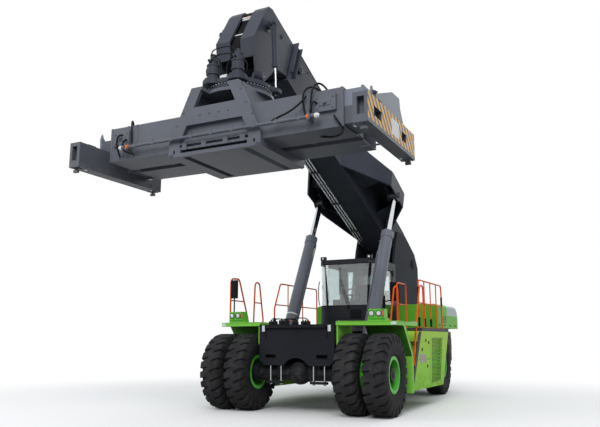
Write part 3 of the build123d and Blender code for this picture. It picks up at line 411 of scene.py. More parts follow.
def mirrored(shape):
    """Repeats what is drawn so far, on the machine's left, on its right."""
    copy = bmesh.ops.duplicate(shape, geom=[*shape.verts, *shape.edges, *shape.faces])["geom"]
    bmesh.ops.scale(shape, vec=(-1, 1, 1), verts=[part for part in copy if isinstance(part, bmesh.types.BMVert)])
    return shape


studs, trim, reflectors = bmesh.new(), bmesh.new(), bmesh.new()
for x in (-0.630, -0.380, 0.380, 0.630):
    turned(studs, ((0, 0.018), (0.335, 0.018)), (x, -1.948, 0.622), UP, steps=16)
    for z in (0.575, 0.640):
        turned(studs, ((0, 0.030), (0.002, 0.033), (0.024, 0.033), (0.026, 0.030)), (x, -1.948, z), UP, steps=6)
plate(trim, (0.678, front - 0.028, bar_z - 0.055), (0.722, front, bar_z + 0.030))
plate(trim, (0.714, front - 0.018, bar_z - 0.240), (0.726, front, bar_z - 0.050))
plate(trim, (0.730, front - 0.008, bar_z - 0.105), (0.820, front, bar_z + 0.045), edge=0.006)
plate(trim, (0.676, front - 0.068, bar_z - 0.040), (0.704, front - 0.020, bar_z + 0.016))
turned(trim, ((0, 0.014), (0.012, 0.014)), (0.70, front - 0.028, bar_z - 0.012), AHEAD, steps=12)
for z in (1.190, 1.110):
    plate(trim, (0.46, front - 0.010, z), (0.74, front, z + 0.010), edge=0.003)
mirrored(trim)
turned(trim, knob(0.022, 0.010, 0.014, 0.016), (0, front, 1.665), AHEAD, steps=16)
turned(trim, ((-0.705, 0.016), (-0.700, 0.019), (0.700, 0.019), (0.705, 0.016)), (0, front - 0.052, bar_z - 0.012),
       LEFT, steps=16)
plate(reflectors, (0.741, front - 0.014, bar_z - 0.094), (0.809, front - 0.006, bar_z + 0.034), edge=0.003)
lens_white = Finish("clear_reflector", Roughness=0.12, Coat_Weight=1.0)
lens_white.wire(Base_Color=lens_white.mix(lens_white.noise(40), (236, 244, 246), (205, 222, 228)))
lens_white.bumps((lens_white.x * 90 % 1.0 - 0.5) * (lens_white.z * 90 % 1.0 - 0.5), 0.004, 0.6)
finished(studs, "axle_studs", steel, "chassis", smooth=30)
finished(trim, "front_plate_trim", hose_black, "chassis")
finished(mirrored(reflectors), "front_reflectors", lens_white, "chassis")

# ---------------------------------------------------------------- valves on the front deck
# Steel valve blocks and banjo fittings bolted along the front edge of the deck, with short black
# hoses between them and orange dust caps.


def hose(name, points, radius, finish, body, order=3):
    """Smooth hoses or pipes through their control points; order 2 makes straight ones."""
    curve = bpy.data.curves.new(name, "CURVE")
    curve.dimensions, curve.use_fill_caps = "3D", True
    curve.bevel_depth, curve.bevel_resolution, curve.resolution_u = radius, 3, 8
    for line in points:
        spline = curve.splines.new("NURBS")
        spline.points.add(len(line) - 1)
        for point, place in zip(spline.points, line):
            point.co = (*place, 1)
        spline.order_u, spline.use_endpoint_u = min(order, len(line)), True
    holder = bpy.data.objects.new(name, curve)
    mesh = bpy.data.meshes.new_from_object(holder)
    bpy.data.objects.remove(holder)
    mesh.name = name
    return keep_piece(name, mesh, finish, body, smooth=50)


cap_orange = paint("cap_orange", (232, 112, 40), (205, 90, 26), roughness=0.5, dust=0.1)
deck_z, block_y = 1.815, -1.93
random.seed(7)
valves, caps = bmesh.new(), bmesh.new()
for x, width, depth, height in ((-0.62, 0.16, 0.12, 0.075), (-0.36, 0.20, 0.14, 0.095), (-0.08, 0.12, 0.10, 0.060),
                                (0.16, 0.18, 0.12, 0.070)):
    plate(valves, (x - width / 2, block_y, deck_z), (x + width / 2, block_y + depth, deck_z + height), edge=0.006)
    for k in (-1, 0, 1):
        turned(valves, ((0, 0.017), (0.022, 0.017), (0.026, 0.012), (0.034, 0.012)),
               (x + k * width / 3, block_y + depth / 2, deck_z + height), UP, steps=6)
    turned(valves, knob(0.020, 0.03, 0.034, 0.014), (x, block_y, deck_z + height / 2), AHEAD, steps=12)
loops = []
for start, end in ((-0.66, -0.40), (-0.32, -0.06), (-0.10, 0.20), (-0.58, -0.12)):
    rise = deck_z + 0.085 + 0.03 * random.random()
    loops.append(((start, -1.87, deck_z + 0.09), (start, -1.87, rise + 0.04), ((start + end) / 2, -1.90, rise + 0.03),
                  (end, -1.86, rise + 0.03), (end, -1.86, deck_z + 0.07)))
for x in (-0.30, -0.20, 0.235):
    turned(caps, knob(0.016, 0.02, 0.026, 0.010), (x, -1.885, deck_z + 0.07), UP, steps=12)
finished(valves, "deck_valves", chassis_black, "chassis")
hose("deck_hoses", loops, 0.011, hose_black, "chassis")
finished(caps, "deck_caps", cap_orange, "chassis")

# ---------------------------------------------------------------- fenders
# Folded steel fenders over the drive wheels in light green with a rolled edge; their undersides are
# darkened to dark green as painted shade, varied by dirt. A row of bolts holds each to the deck, and a
# clear marker sits at its outer corner.


def both(*lines):
    """Lines on the machine's left and the same on its right."""
    return [[(side * x, y, z) for x, y, z in line] for side in (-1, 1) for line in lines]


def paired(shape, profile, spots, axis, steps=6):
    """Turned pieces at places on the machine's left, and the same again on its right."""
    for x, y, z in spots:
        for side in (1, -1):
            turned(shape, profile, (side * x, y, z), (side * axis[0], *axis[1:]), steps)


fender_top = 1.870
bolt_head = ((0, 0.020), (0.003, 0.020), (0.004, 0.014), (0.013, 0.014), (0.015, 0.011))
skin = Finish("fender_green", Specular_IOR_Level=0.12)
# Faces that turn downwards are mixed towards dark green: painted shade under the fenders, its two greens varied by
# dirt.
below = skin.step(0 - skin.up, 0.35, 0.75)
dirt = skin.step(skin.noise(6, 6), 0.42, 0.72)
tone = skin.mix(skin.noise(1.4, 4), (146, 224, 84), (126, 208, 70))
shade = skin.mix(dirt, (52, 110, 42), (40, 70, 34))
settled = skin.step(skin.up, 0.6, 0.95) * dirt
skin.wire(Base_Color=skin.mix(settled * 0.22, skin.mix(below, tone, shade), (170, 178, 130)),
          Roughness=0.34 + below * 0.3 + settled * 0.3)
skin.bumps(skin.noise(150, 2), 0.0006, 0.35)
dress(skin, "fenders")
rolled_edge = [(0.905, -1.978, 1.868), (2.108, -1.618, 1.868), (2.108, -1.18, 1.868), (2.108, -1.165, 1.866),
               (2.108, -1.15, 1.85), (2.108, -0.625, 1.19), (2.108, -0.618, 1.16), (2.108, -0.655, 0.40)]
hose("fender_edges", both(rolled_edge), 0.009, skin, "chassis", order=2)
bolts, markers = bmesh.new(), bmesh.new()
for x, start, pitch, count in ((0.925, -1.86, 0.17, 6), (2.085, -0.60, 0.09, 5)):
    paired(bolts, bolt_head, [(x, start + pitch * k, fender_top) for k in range(count)], UP)
corner = Matrix.Translation((2.030, -1.644, 1.830)) @ Matrix.Rotation(radians(16.57), 4, "Z")
plate(markers, (-0.055, -0.008, -0.030), (0.055, 0.002, 0.030), edge=0.002, turn=corner)
finished(bolts, "fender_bolts", steel, "chassis")
finished(mirrored(markers), "fender_markers", lens_white, "chassis")

# ---------------------------------------------------------------- head lamps
# Pressed housings in green on the fenders, each with two round lamps behind clear glass and an
# orange indicator, and black work lamps on the cab's roof.
skin = Finish("lamp_green", Specular_IOR_Level=0.25)
green = skin.mix(skin.noise(4), (122, 214, 70), (100, 190, 56))
skin.wire(Base_Color=skin.mix(skin.step(skin.z, 3.0, 3.1), green, (28, 29, 32)),
          Roughness=skin.noise(30) * 0.2 + 0.26)
skin.bumps(skin.noise(150, 2), 0.0005, 0.3)
dress(skin, "headlamps")


def ribbed(name, axis, pitch, first, second, **constants):
    """Clear moulded plastic or glass with fine ribs across an axis."""
    finish = Finish(name, Coat_Weight=1.0, **constants)
    ribs = abs(getattr(finish, axis) * pitch % 1.0 - 0.5)
    return finish.wire(Base_Color=finish.mix(ribs, first, second)).bumps(ribs, 0.002, 0.5)


lamp_glass = ribbed("lamp_glass", "x", 70, (240, 246, 248), (206, 216, 222), Roughness=0.05, Coat_Roughness=0.03)
indicator_red = ribbed("indicator_orange", "z", 110, (236, 84, 30), (196, 50, 18), Roughness=0.15)
bezels, lenses, indicators = bmesh.new(), bmesh.new(), bmesh.new()
lens_dome = ((0, 0.052), (0.004, 0.050), (0.009, 0.042), (0.012, 0.028), (0.013, 0.012), (0.0132, 0.002))
bezel = ((0, 0.060), (0.012, 0.060), (0.016, 0.056), (0.014, 0.051), (0.002, 0.051))
roof_bezel = ((0, 0.042), (0.010, 0.042), (0.013, 0.038), (0.011, 0.033), (0.002, 0.033))
for side in (-1, 1):
    middle = side * 1.680
    for x in (middle - 0.095, middle + 0.060):
        turned(bezels, bezel, (x, -1.720, 2.030), AHEAD, steps=32, closed=False)
        turned(lenses, lens_dome, (x, -1.720, 2.030), AHEAD, steps=32)
    x = middle + 0.145
    plate(indicators, (x - 0.020, -1.712, 1.975), (x + 0.020, -1.700, 2.085))
    for z in (1.962, 2.092):
        plate(bezels, (x - 0.024, -1.710, z), (x + 0.024, -1.700, z + 0.008), edge=0.002)
    on_roof = (side * 0.630, 0.800, 3.547)
    turned(bezels, roof_bezel, on_roof, (0, -1, -0.2), closed=False)
    turned(lenses, [(d * 0.6, r * 0.62) for d, r in lens_dome], on_roof, (0, -1, -0.2))
finished(bezels, "lamp_bezels", hose_black, "chassis")
finished(lenses, "lamp_lenses", lamp_glass, "chassis")
finished(indicators, "indicators", indicator_red, "chassis")

# ---------------------------------------------------------------- side boxes
# Tool and tank boxes of folded steel, green, with doors cut by fine gaps, black locks, a bare grey
# plate and a perforated grille over the louvres.
box_side = 2.055
front_lean = 0.156            # of the boxes' sloping front
skin = Finish("box_green", Specular_IOR_Level=0.04)
along, high = skin.y, skin.z
slant = (high - 0.52) * front_lean
grille = skin.step(abs(skin.x), 2.0615, 2.0625)
# The grille's round holes are painted near black: painted shade of the hollows behind them.
hole_y, hole_z = along * 42 % 1.0 - 0.5, high * 42 % 1.0 - 0.5
holes = skin.step(hole_y * hole_y + hole_z * hole_z, 0.13, 0.09)
on_doors = (high > 0.50) * (high < 1.60)
front_gap = skin.step(abs(along - slant - 0.905), 0.0055, 0.0035) * on_doors
cross_gap = skin.step(abs(high - 1.055), 0.0055, 0.0035) * (along < 1.0 + slant - 0.09)
rear_gap = skin.step(abs(along - slant * 2.06 - 1.86), 0.0055, 0.0035) * on_doors
gaps = front_gap.most(cross_gap).most(rear_gap) * skin.step(abs(skin.side), 0.8, 0.9)
mud = (1 - skin.step(high, 0.35, 1.0)) * skin.step(skin.noise(8, 5), 0.40, 0.70)
tone = skin.mix(skin.noise(1.2, 4), (180, 236, 58), (144, 222, 88))
# The first mix lightens the boxes from 1 m up towards a pale yellow green: a painted highlight on top.
for share, colour in ((skin.step(high, 1.0, 1.5) * 0.5, (194, 228, 84)), (grille * 0.55, (70, 108, 44)),
                      (grille * holes * 0.9, (26, 36, 20)), (gaps * (1 - grille), (24, 34, 20)),
                      (mud * 0.35, (110, 118, 84))):
    tone = skin.mix(share, tone, colour)
skin.wire(Base_Color=tone, Roughness=0.40 + mud * 0.35)
skin.bumps(skin.noise(130, 2) * 0.3 - gaps - grille * holes, 0.0015, 0.5)
dress(skin, "side_boxes")
bare_plate = mottled("bare_plate", (9, 4), (164, 150, 152), (140, 132, 136), (60, 2), 0.2, 0.4, Metallic=0.6)
locks, plates = bmesh.new(), bmesh.new()
for y, z in ((0.860, 1.430), (0.290, 1.280), (0.700, 0.900), (0.620, 1.480)):
    plate(locks, (box_side - 0.006, y - 0.026, z - 0.034), (box_side + 0.006, y + 0.026, z + 0.034))
    turned(locks, ((0, 0.016), (0.006, 0.015), (0.008, 0.010)), (box_side + 0.006, y, z + 0.01), LEFT, steps=16)
for z in (0.62, 1.50):
    y = 0.985 + (z - 0.5) * front_lean
    plate(locks, (box_side - 0.005, y, z - 0.04), (box_side + 0.005, y + 0.025, z + 0.04))
plate(plates, (2.049, 0.110, 0.990), (box_side, 0.600, 1.170), edge=0.002)
for y in (0.125, 0.585):
    for z in (1.005, 1.155):
        turned(plates, ((0, 0.006), (0.002, 0.0055), (0.003, 0.003)), (box_side, y, z), LEFT, steps=10)
finished(mirrored(locks), "box_locks", hose_black, "chassis")
finished(mirrored(plates), "box_plates", bare_plate, "chassis")

# ---------------------------------------------------------------- walkways and ladders
# Checker plate of dark painted steel, with raised lozenges worn bright where boots fall. The
# ladders' treads carry rows of round studs.
skin = Finish("deck_grey", Metallic=0.3)
u, v = skin.x * 14, skin.y * 14
in_u, in_v = u % 1.0, v % 1.0
turned_way = abs(((u - in_u) + (v - in_v)) % 2.0)
in_u, in_v = in_u - 0.5, in_v - 0.5
leaning, falling = abs(in_u + in_v), abs(in_u - in_v)
rising_stud = skin.step(leaning * 0.55 + falling * 2.2, 0.34, 0.24)
falling_stud = skin.step(falling * 0.55 + leaning * 2.2, 0.34, 0.24)
studded = (rising_stud * turned_way + falling_stud * (1 - turned_way)) * skin.step(skin.up, 0.8, 0.9)
boots = skin.step(skin.noise(2.6, 5), 0.38, 0.66)
tone = skin.mix(studded * 0.5, (44, 46, 51), (96, 98, 102))
skin.wire(Base_Color=skin.mix(boots * 0.45, tone, (108, 104, 98)), Roughness=0.62 - studded * 0.2 + boots * 0.15)
skin.bumps(studded, 0.003, 0.8)
dress(skin, "walkways", "ladders")
treads = bmesh.new()
stud = ((0, 0.012), (0.003, 0.011), (0.004, 0.007))
for side in (-1, 1):
    for step in range(4):
        z = 0.585 + step * 0.290
        back = (z - 0.420) * 0.790 / 1.270 - 0.480
        for k in range(-4, 5):
            for dx, dy in ((0, -0.12), (0.027, -0.07)):
                turned(treads, stud, (side * 1.765 + k * 0.055 + dx, back + dy, z), UP, steps=10)
finished(treads, "tread_studs", skin, "chassis")

# ---------------------------------------------------------------- handrails
# Bent steel tube in orange, welded to foot plates that are bolted down, with black rubber sleeves
# on the posts beside the ladders.
rail_orange = paint("rail_orange", (248, 102, 28), (234, 86, 20), (170, 110, 80), roughness=0.40, dust=0.3)
dress(rail_orange, "handrails")
walkway_z, sleeve_start = 1.770, 1.80
feet, sleeves = bmesh.new(), bmesh.new()
for x, foot, posts in ((-1.900, fender_top, (-1.600, -0.820, -0.540, -0.080)),
                       (-1.900, walkway_z, (0.520, 1.280, 2.180, 3.130)),
                       (1.900, walkway_z, (0.680, 1.180, 1.730, 2.280, 2.830)), (1.480, walkway_z, (0.340, 1.040))):
    for y in posts:
        plate(feet, (x - 0.05, y - 0.05, foot), (x + 0.05, y + 0.05, foot + 0.008), edge=0.003)
        for dx, dy in around(4, 0.034 * 2 ** 0.5, 0.5):
            turned(feet, knob(0.009, 0.006, 0.008, 0.006), (x + dx, y + dy, foot + 0.008), UP, steps=6)
for x, y, low, top in ((1.900, 0.680, sleeve_start, 2.02), (1.900, 0.680, 2.52, 2.74), (1.900, 2.830, 2.35, 2.60),
                       (1.900, 1.180, sleeve_start, 2.00), (1.900, 1.730, sleeve_start, 2.00),
                       (-1.900, 0.520, sleeve_start, 2.05)):
    turned(sleeves, ((0, 0.022), (0.004, 0.026), (top - low - 0.004, 0.026), (top - low, 0.022)), (x, y, low), UP,
           steps=16)
finished(feet, "rail_feet", rail_orange, "chassis")
finished(sleeves, "rail_sleeves", hose_black, "chassis")

# ---------------------------------------------------------------- engine hoods and counterweight
# Folded hoods over the engine's sides in green, each with a pale moulded cap at its rear, air
# slots, hinges and catches. The cast counterweight behind is satin black with a rough skin.
skin = Finish("hood_green", Specular_IOR_Level=0.08)
pale_cap = skin.step(skin.z, 2.150, 2.156) * skin.step(skin.y, 3.90, 3.906)
# The air slots are painted as near-black stripes: painted shade inside the slots.
slot_bank = (skin.z > 1.95) * (skin.z < 2.12) * (skin.y > 3.2) * (skin.y < 3.8) * skin.step(abs(skin.side), 0.7, 0.8)
slots = skin.step(abs(skin.z * 26 % 1.0 - 0.5), 0.22, 0.28) * slot_bank
tone = skin.mix(pale_cap, skin.mix(skin.noise(1.3, 4), (118, 202, 66), (98, 184, 56)), (196, 206, 208))
skin.wire(Base_Color=skin.mix(slots, tone, (22, 30, 20)), Roughness=skin.noise(40) * 0.2 + 0.3)
skin.bumps(skin.noise(140, 2) * 0.3 - slots, 0.002, 0.5)
dress(skin, "engine_hood")
weight_black = paint("weight_black", (40, 41, 46), (30, 31, 35), roughness=0.55, dust=0.15, grain=0.003)
dress(weight_black, "counterweight")
catches, tail_lamps, weight_trim = bmesh.new(), bmesh.new(), bmesh.new()
for y in (3.05, 3.60, 4.20, 4.80):
    plate(catches, (1.780, y - 0.03, 1.86), (1.794, y + 0.03, 1.90), edge=0.003)
    turned(catches, ((0, 0.011), (0.12, 0.011)), (1.24, y, 2.446), LEFT, steps=12)
corner = Matrix.Translation((1.445, 5.595, 1.36)) @ Matrix.Rotation(radians(-45), 4, "Z")
plate(catches, (-0.045, -0.012, -0.17), (0.045, 0.004, 0.17), turn=corner)
plate(tail_lamps, (-0.035, -0.010, -0.155), (0.035, 0.010, 0.155), turn=corner)
for y in (5.20, 5.45):
    turned(weight_trim, ((0, 0.045), (0.012, 0.045), (0.018, 0.038), (0.018, 0.020), (0.034, 0.018)),
           (1.10, y, 1.720), UP)
for z in (1.05, 1.30, 1.55):
    turned(weight_trim, ((0, 0.030), (0.010, 0.030), (0.014, 0.024), (0.014, 0.016), (0.026, 0.015)),
           (1.480, 5.25, z), LEFT, steps=6)
finished(mirrored(catches), "hood_catches", hose_black, "chassis")
finished(mirrored(tail_lamps), "tail_lamps", indicator_red, "chassis")
finished(mirrored(weight_trim), "weight_bolts", weight_black, "chassis")

# ---------------------------------------------------------------- mirrors
# Black moulded housings on tube arms, with the mirror glass set in their rear faces, towards the
# driver.
dress(hose_black, "mirrors")
mirror_glass = mottled("mirror_glass", (2,), (190, 200, 208), (160, 172, 182), (3,), 0.06, 0.03, Metallic=1.0)
glasses, shells = bmesh.new(), bmesh.new()
for x0, x1, back, face, top in ((-1.880, -1.720, -1.570, -1.620, 2.850), (1.130, 1.370, 0.930, 0.870, 2.880)):
    plate(glasses, (x0 + 0.012, back, 2.445), (x1 - 0.012, back + 0.003, top - 0.015), edge=0.001)
    plate(shells, (x0 + 0.02, face - 0.014, 2.460), (x1 - 0.02, face + 0.002, top - 0.03), edge=0.010)
finished(glasses, "mirror_faces", mirror_glass, "chassis")
finished(shells, "mirror_backs", hose_black, "chassis")

# ---------------------------------------------------------------- cab
# Welded steel cab with a wrap-round screen set in black rubber, a long wiper, panel seams in its
# dark base, hinged door, grab bar, air intake under the screen and a ribbed roof panel.
skin = cab_charcoal = Finish("cab_charcoal", Specular_IOR_Level=0.15)
inside = skin.step(abs(skin.x), 0.735, 0.732) * (skin.z < 3.445) * (skin.y < 2.385) * (skin.y > 0.775)
upright = skin.step(abs(abs(skin.x) - 0.42), 0.006, 0.004) * (skin.z < 2.02)
seam = skin.step(abs(skin.z - 2.020), 0.006, 0.004).most(upright) * (skin.z < 2.3)
tone = skin.mix(inside, skin.mix(skin.noise(1.6, 4), (44, 46, 52), (34, 36, 41)), (70, 72, 76))
skin.wire(Base_Color=skin.mix(seam * (1 - inside), tone, (12, 12, 14)),
          Roughness=skin.noise(24) * 0.12 + 0.36 + inside * 0.3)
skin.bumps(skin.noise(150, 2) * 0.3 - seam, 0.0012, 0.5)
dress(skin, "cab_shell", "cab_door")
glass = Finish("cab_glass", Transmission_Weight=1.0, IOR=2.0)
smear = glass.step(glass.noise(3.2, 4), 0.45, 0.8)
glass.wire(Roughness=smear * 0.04 + 0.01, Base_Color=glass.mix(smear, (224, 236, 236), (208, 224, 224)))
dress(glass, "cab_glass", "cab_door_glass")


def screen_line(inset, z):
    """Line round the cab's front, from one side to the other, at a height."""
    half, front, turn = 0.780 - inset, 0.730 + inset, 0.330 - inset
    left = [(half - turn * (1 - cos(a)), front + turn * (1 - sin(a)), z) for a in (pi / 2 * k / 8 for k in range(9))]
    return [(half, 1.238, z), *left, *[(-x, y, z) for x, y, z in reversed(left)], (-half, 1.238, z)]


def window_line(low, high):
    """Line round a flat window, from its lowest to its highest corner."""
    (x0, y0, z0), (x1, y1, z1) = low, high
    return [low, (x1, y1, z0), high, (x0, y0, z1), low]


hose("screen_rubber", [screen_line(0.008, z) for z in (2.336, 3.384)], 0.010, hose_black, "chassis", order=2)
hose("window_rubbers", [window_line((-0.777, 1.345, 2.335), (-0.777, 2.255, 3.385)),
                        window_line((-0.595, 2.428, 2.455), (0.595, 2.428, 3.345))], 0.009, hose_black, "chassis",
     order=2)
hose("door_rubber", [window_line((0.778, 1.435, 2.155), (0.778, 2.145, 3.285))], 0.009, hose_black, "cab_door",
     order=2)
hose("screen_wiper", [[(0.10, 0.712, 2.30), (0.10, 0.706, 2.345), (-0.05, 0.706, 2.75), (-0.14, 0.706, 3.00)],
                      [(-0.14, 0.708, 2.62), (-0.14, 0.710, 3.00), (-0.14, 0.708, 3.30)],
                      [(0.06, 0.712, 2.30), (0.055, 0.706, 2.36), (-0.075, 0.706, 2.72)]], 0.007, hose_black,
     "chassis", order=2)
fittings, roof_trim = bmesh.new(), bmesh.new()
for z in (2.45, 3.25):
    plate(fittings, (0.695, 1.24, z), (0.725, 1.30, z + 0.04))
mirrored(fittings)
turned(fittings, ((0, 0.03), (0.018, 0.03), (0.026, 0.022), (0.034, 0.012)), (0.08, 0.730, 2.29), AHEAD, steps=20)
plate(fittings, (0.13, 0.700, 2.02), (0.42, 0.732, 2.24), edge=0.012)
for k in range(5):
    plate(fittings, (0.16, 0.696, 2.05 + 0.035 * k), (0.39, 0.702, 2.062 + 0.035 * k), edge=0.002)
plate(roof_trim, (-0.50, 1.35, 3.500), (0.50, 2.25, 3.530), edge=0.012)
for k in range(6):
    plate(roof_trim, (-0.42, 1.43 + 0.13 * k, 3.530), (0.42, 1.47 + 0.13 * k, 3.540))
finished(fittings, "cab_fittings", hose_black, "chassis")
hose("cab_grab_bars", [[(-0.74, 0.83, 2.36), (-0.76, 0.79, 2.40), (-0.76, 0.79, 2.92), (-0.74, 0.83, 2.96)]], 0.012,
     hose_black, "chassis")
finished(roof_trim, "roof_panel", cab_charcoal, "chassis")

# ---------------------------------------------------------------- driver's seat
# Sprung seat: crowned cushion and back of dark woven cloth with pressed seams, moulded arm rests
# and a bellows pedestal. The console in front of it carries a screen and a row of switches.
cloth = Finish("seat_cloth", Sheen_Weight=0.3)
weave = (abs(cloth.x * 260 % 1.0 - 0.5) + abs(cloth.z * 260 % 1.0 - 0.5)) * 0.5
cloth.wire(Base_Color=cloth.mix(weave, (46, 48, 54), (66, 68, 76)), Roughness=0.75 + weave * 0.3)
cloth.bumps(weave, 0.0008, 0.6)
plastic = mottled("cab_plastic", (6,), (48, 49, 52), (38, 39, 42), (50,), 0.2, 0.45)
plastic.bumps(plastic.noise(240, 2), 0.0006, 0.5)
dress(plastic, "cab_console")


def cushion(name, size, place, crown, bolster=0.9):
    """A stitched pad: crowned in the middle, raised along its sides, its edges pulled in."""
    shape = bmesh.new()
    bmesh.ops.create_cube(shape, size=1)
    bmesh.ops.subdivide_edges(shape, edges=shape.edges, cuts=11, use_grid_fill=True)
    for vert in shape.verts:
        x, y, z = vert.co * 2
        edge_x, edge_y = max(0.0, abs(x) - 0.55) / 0.45, max(0.0, abs(y) - 0.72) / 0.28
        round_off = 1 - 0.42 * (edge_x ** 2.6 + edge_y ** 2.6) * 0.5
        waist = 1 - 0.05 * (1 - z * z) * (1 - max(abs(x), abs(y))) - 0.04 * abs(z) ** 3
        side_roll = bolster * max(0, abs(x) - 0.6) * (1 - y ** 4)
        top = z * (1 + crown * (1 - x * x) * (1 - y * y) + side_roll) if z > 0 else z
        seam = 0.05 * (max(0, 1 - abs(abs(x) - 0.52) / 0.09)) ** 2 if z > 0.8 else 0
        vert.co = (x / 2 * waist * size[0], y / 2 * waist * size[1], (top * round_off - seam) / 2 * size[2])
    bmesh.ops.transform(shape, matrix=place, verts=shape.verts)
    piece = finished(shape, name, cloth, "chassis", smooth=None)
    piece.data.shade_smooth()
    smooth = piece.modifiers.new("rounding", "SUBSURF")
    smooth.levels = smooth.render_levels = 1
    return piece


seat_pad = cushion("seat_cushion", (0.50, 0.50, 0.125), Matrix.Translation((0, 1.720, 2.200)), 0.12)
back_lean = Matrix.Translation((0, 2.045, 2.630)) @ Matrix.Rotation(radians(74.5), 4, "X")
back_pad = cushion("seat_back", (0.48, 0.68, 0.095), back_lean, 0.10)
seat_frame, panel = bmesh.new(), bmesh.new()
plate(seat_frame, (0.270, 1.540, 2.390), (0.340, 1.970, 2.445), edge=0.018)
plate(seat_frame, (0.268, 1.895, 2.240), (0.312, 1.960, 2.400), edge=0.010)
turned(seat_frame, ((0, 0.018), (0.03, 0.014), (0.06, 0.016), (0.085, 0.022), (0.10, 0.014)), (0.305, 1.580, 2.440),
       UP, steps=16)
mirrored(seat_frame)
for k in range(6):
    turned(seat_frame, ((0, 0.115), (0.022, 0.128), (0.044, 0.115)), (0, 1.710, 1.840 + 0.044 * k), UP, steps=28)
plate(seat_frame, (-0.24, 1.480, 2.106), (0.24, 1.970, 2.136), edge=0.012)
seat_base = finished(seat_frame, "seat_frame", plastic, "chassis")
for piece in (seat_pad, back_pad, seat_base):
    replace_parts(piece, "driver_seat")
plate(panel, (-0.46, 1.02, 2.34), (-0.24, 1.05, 2.50), edge=0.008)
plate(panel, (-0.36, 1.045, 1.85), (-0.34, 1.065, 2.36))
for k in range(4):
    plate(panel, (-0.13 + 0.07 * k, 0.975, 2.452), (-0.09 + 0.07 * k, 1.03, 2.468))
finished(panel, "cab_panel", plastic, "chassis")

# ---------------------------------------------------------------- boom tower
# Two tall plates of charcoal painted steel that carry the boom's pivot pin, with bolted pin caps and
# five hoses that rise between them.
tower_side = 0.600
pivot_y, pivot_z = 4.680, 3.750
tower_charcoal = paint("tower_charcoal", (52, 55, 61), (40, 42, 47), roughness=0.5, dust=0.15, shine=0.02)
dress(tower_charcoal, "boom_tower")
pivot_caps = bmesh.new()
turned(pivot_caps, knob(0.150, 0.014, 0.018, 0.146), (tower_side, pivot_y, pivot_z), LEFT, steps=40)
for y, z in around(8, 0.125):
    turned(pivot_caps, bolt_head, (tower_side + 0.016, pivot_y + y, pivot_z + z), LEFT, steps=6)
for y, z in ((3.30, 2.2), (3.75, 2.2), (4.25, 2.2), (4.75, 2.2), (3.55, 3.0), (4.95, 3.0)):
    turned(pivot_caps, bolt_head, (tower_side, y, z), LEFT, steps=6)
finished(mirrored(pivot_caps), "pivot_caps", tower_charcoal, "chassis")
tower_hoses = [[(x, 3.02 + 0.03 * k, 1.85), (x, 3.00, 2.45), (x, 3.10, 3.15), (x * 0.9, 3.35, 3.55)]
               for k, x in enumerate((-0.20, -0.12, -0.04, 0.06, 0.15))]
hose("tower_hoses", tower_hoses, 0.018, hose_black, "chassis")

# ---------------------------------------------------------------- outer boom
# Box girder of welded plate with wings for the lift rods, a thick collar at its mouth, bolted wear
# pads, bright pipes along its right lower edge and a pair of work lamps.
boom_charcoal = paint("boom_charcoal", (68, 71, 81), (54, 57, 66), roughness=0.45, dust=0.2, shine=0.04)
boom_frame = Matrix.Translation((0, pivot_y, pivot_z)) @ Matrix.Rotation(radians(-22.2), 4, "X")
rod_eye = (1.205, -3.402, 0.210)


def on_boom(shape):
    """Raises what was drawn with the boom level, its pivot at the origin and its head along -Y."""
    bmesh.ops.transform(shape, matrix=boom_frame, verts=shape.verts)
    return shape


def boom_line(*points):
    """A line on the boom, from points across, along and above the line of its pivot."""
    return [tuple(boom_frame @ Vector((x, -s, w))) for x, s, w in points]


dress(boom_charcoal, "outer_boom", "inner_boom")
hose("boom_welds", both(boom_line((0.431, 0.55, 0.751), (0.431, 8.35, 0.751)),
                        boom_line((0.431, 0.0, -0.232), (0.431, 8.35, -0.232)),
                        boom_line((0.432, 1.95, 0.73), (1.188, 2.98, 0.535), (1.188, 3.98, 0.535),
                                  (0.432, 5.45, 0.73))), 0.007, boom_charcoal, "outer_boom", order=2)
mouth, gussets, work_lamps, lamp_faces = bmesh.new(), bmesh.new(), bmesh.new(), bmesh.new()
for y in (-8.385, -8.445):
    for z in (0.10, 0.20, 0.30, 0.40):
        turned(mouth, bolt_head, (0.455, y, z), LEFT, steps=6)
for y, z in around(6, 0.052):
    turned(mouth, bolt_head, Vector(rod_eye) + Vector((0, y, z)), LEFT, steps=6)
for y in (-6.6, -7.2, -7.8):
    for z in (0.62, -0.10):
        turned(mouth, knob(0.022, 0.012, 0.016, 0.016), (0.430, y, z), LEFT, steps=16)
plate(mouth, (0.453, -8.475, 0.04), (0.465, -8.365, 0.46))
turned(mouth, ((0, 0.100), (0.010, 0.100), (0.014, 0.094), (0.014, 0.050), (0.004, 0.046), (0.004, 0.001)),
       (0.485, -8.180, 0.330), LEFT, steps=36)
for corners in (((0.43, -4.95, 0.18), (1.15, -4.02, 0.36), (0.43, -4.25, 0.05)),
                ((0.43, -4.25, 0.05), (1.15, -4.02, 0.36), (0.43, -3.75, 0.30)),
                ((0.43, -2.35, 0.10), (1.15, -2.98, 0.34), (0.43, -2.95, 0.02))):
    a, b, c = (Vector(corner) for corner in corners)
    half = (b - a).cross(c - a).normalized() * 0.008
    low, top = [[gussets.verts.new(corner + lift) for corner in (a, b, c)] for lift in (-half, half)]
    for face in (low, top, *((low[i], low[i - 2], top[i - 2], top[i]) for i in range(3))):
        gussets.faces.new(face)
plate(work_lamps, (0.430, -6.03, 0.655), (0.690, -5.99, 0.685))
plate(work_lamps, (0.575, -6.06, 0.56), (0.685, -5.99, 0.655), edge=0.010)
plate(lamp_faces, (0.585, -6.052, 0.552), (0.675, -6.000, 0.562), edge=0.003)
mirrored(mouth)
for z, axis in ((0.777, UP), (-0.258, DOWN)):
    paired(mouth, bolt_head, [(x, -8.44, z) for x in (0.18, 0.25, 0.32)], axis)
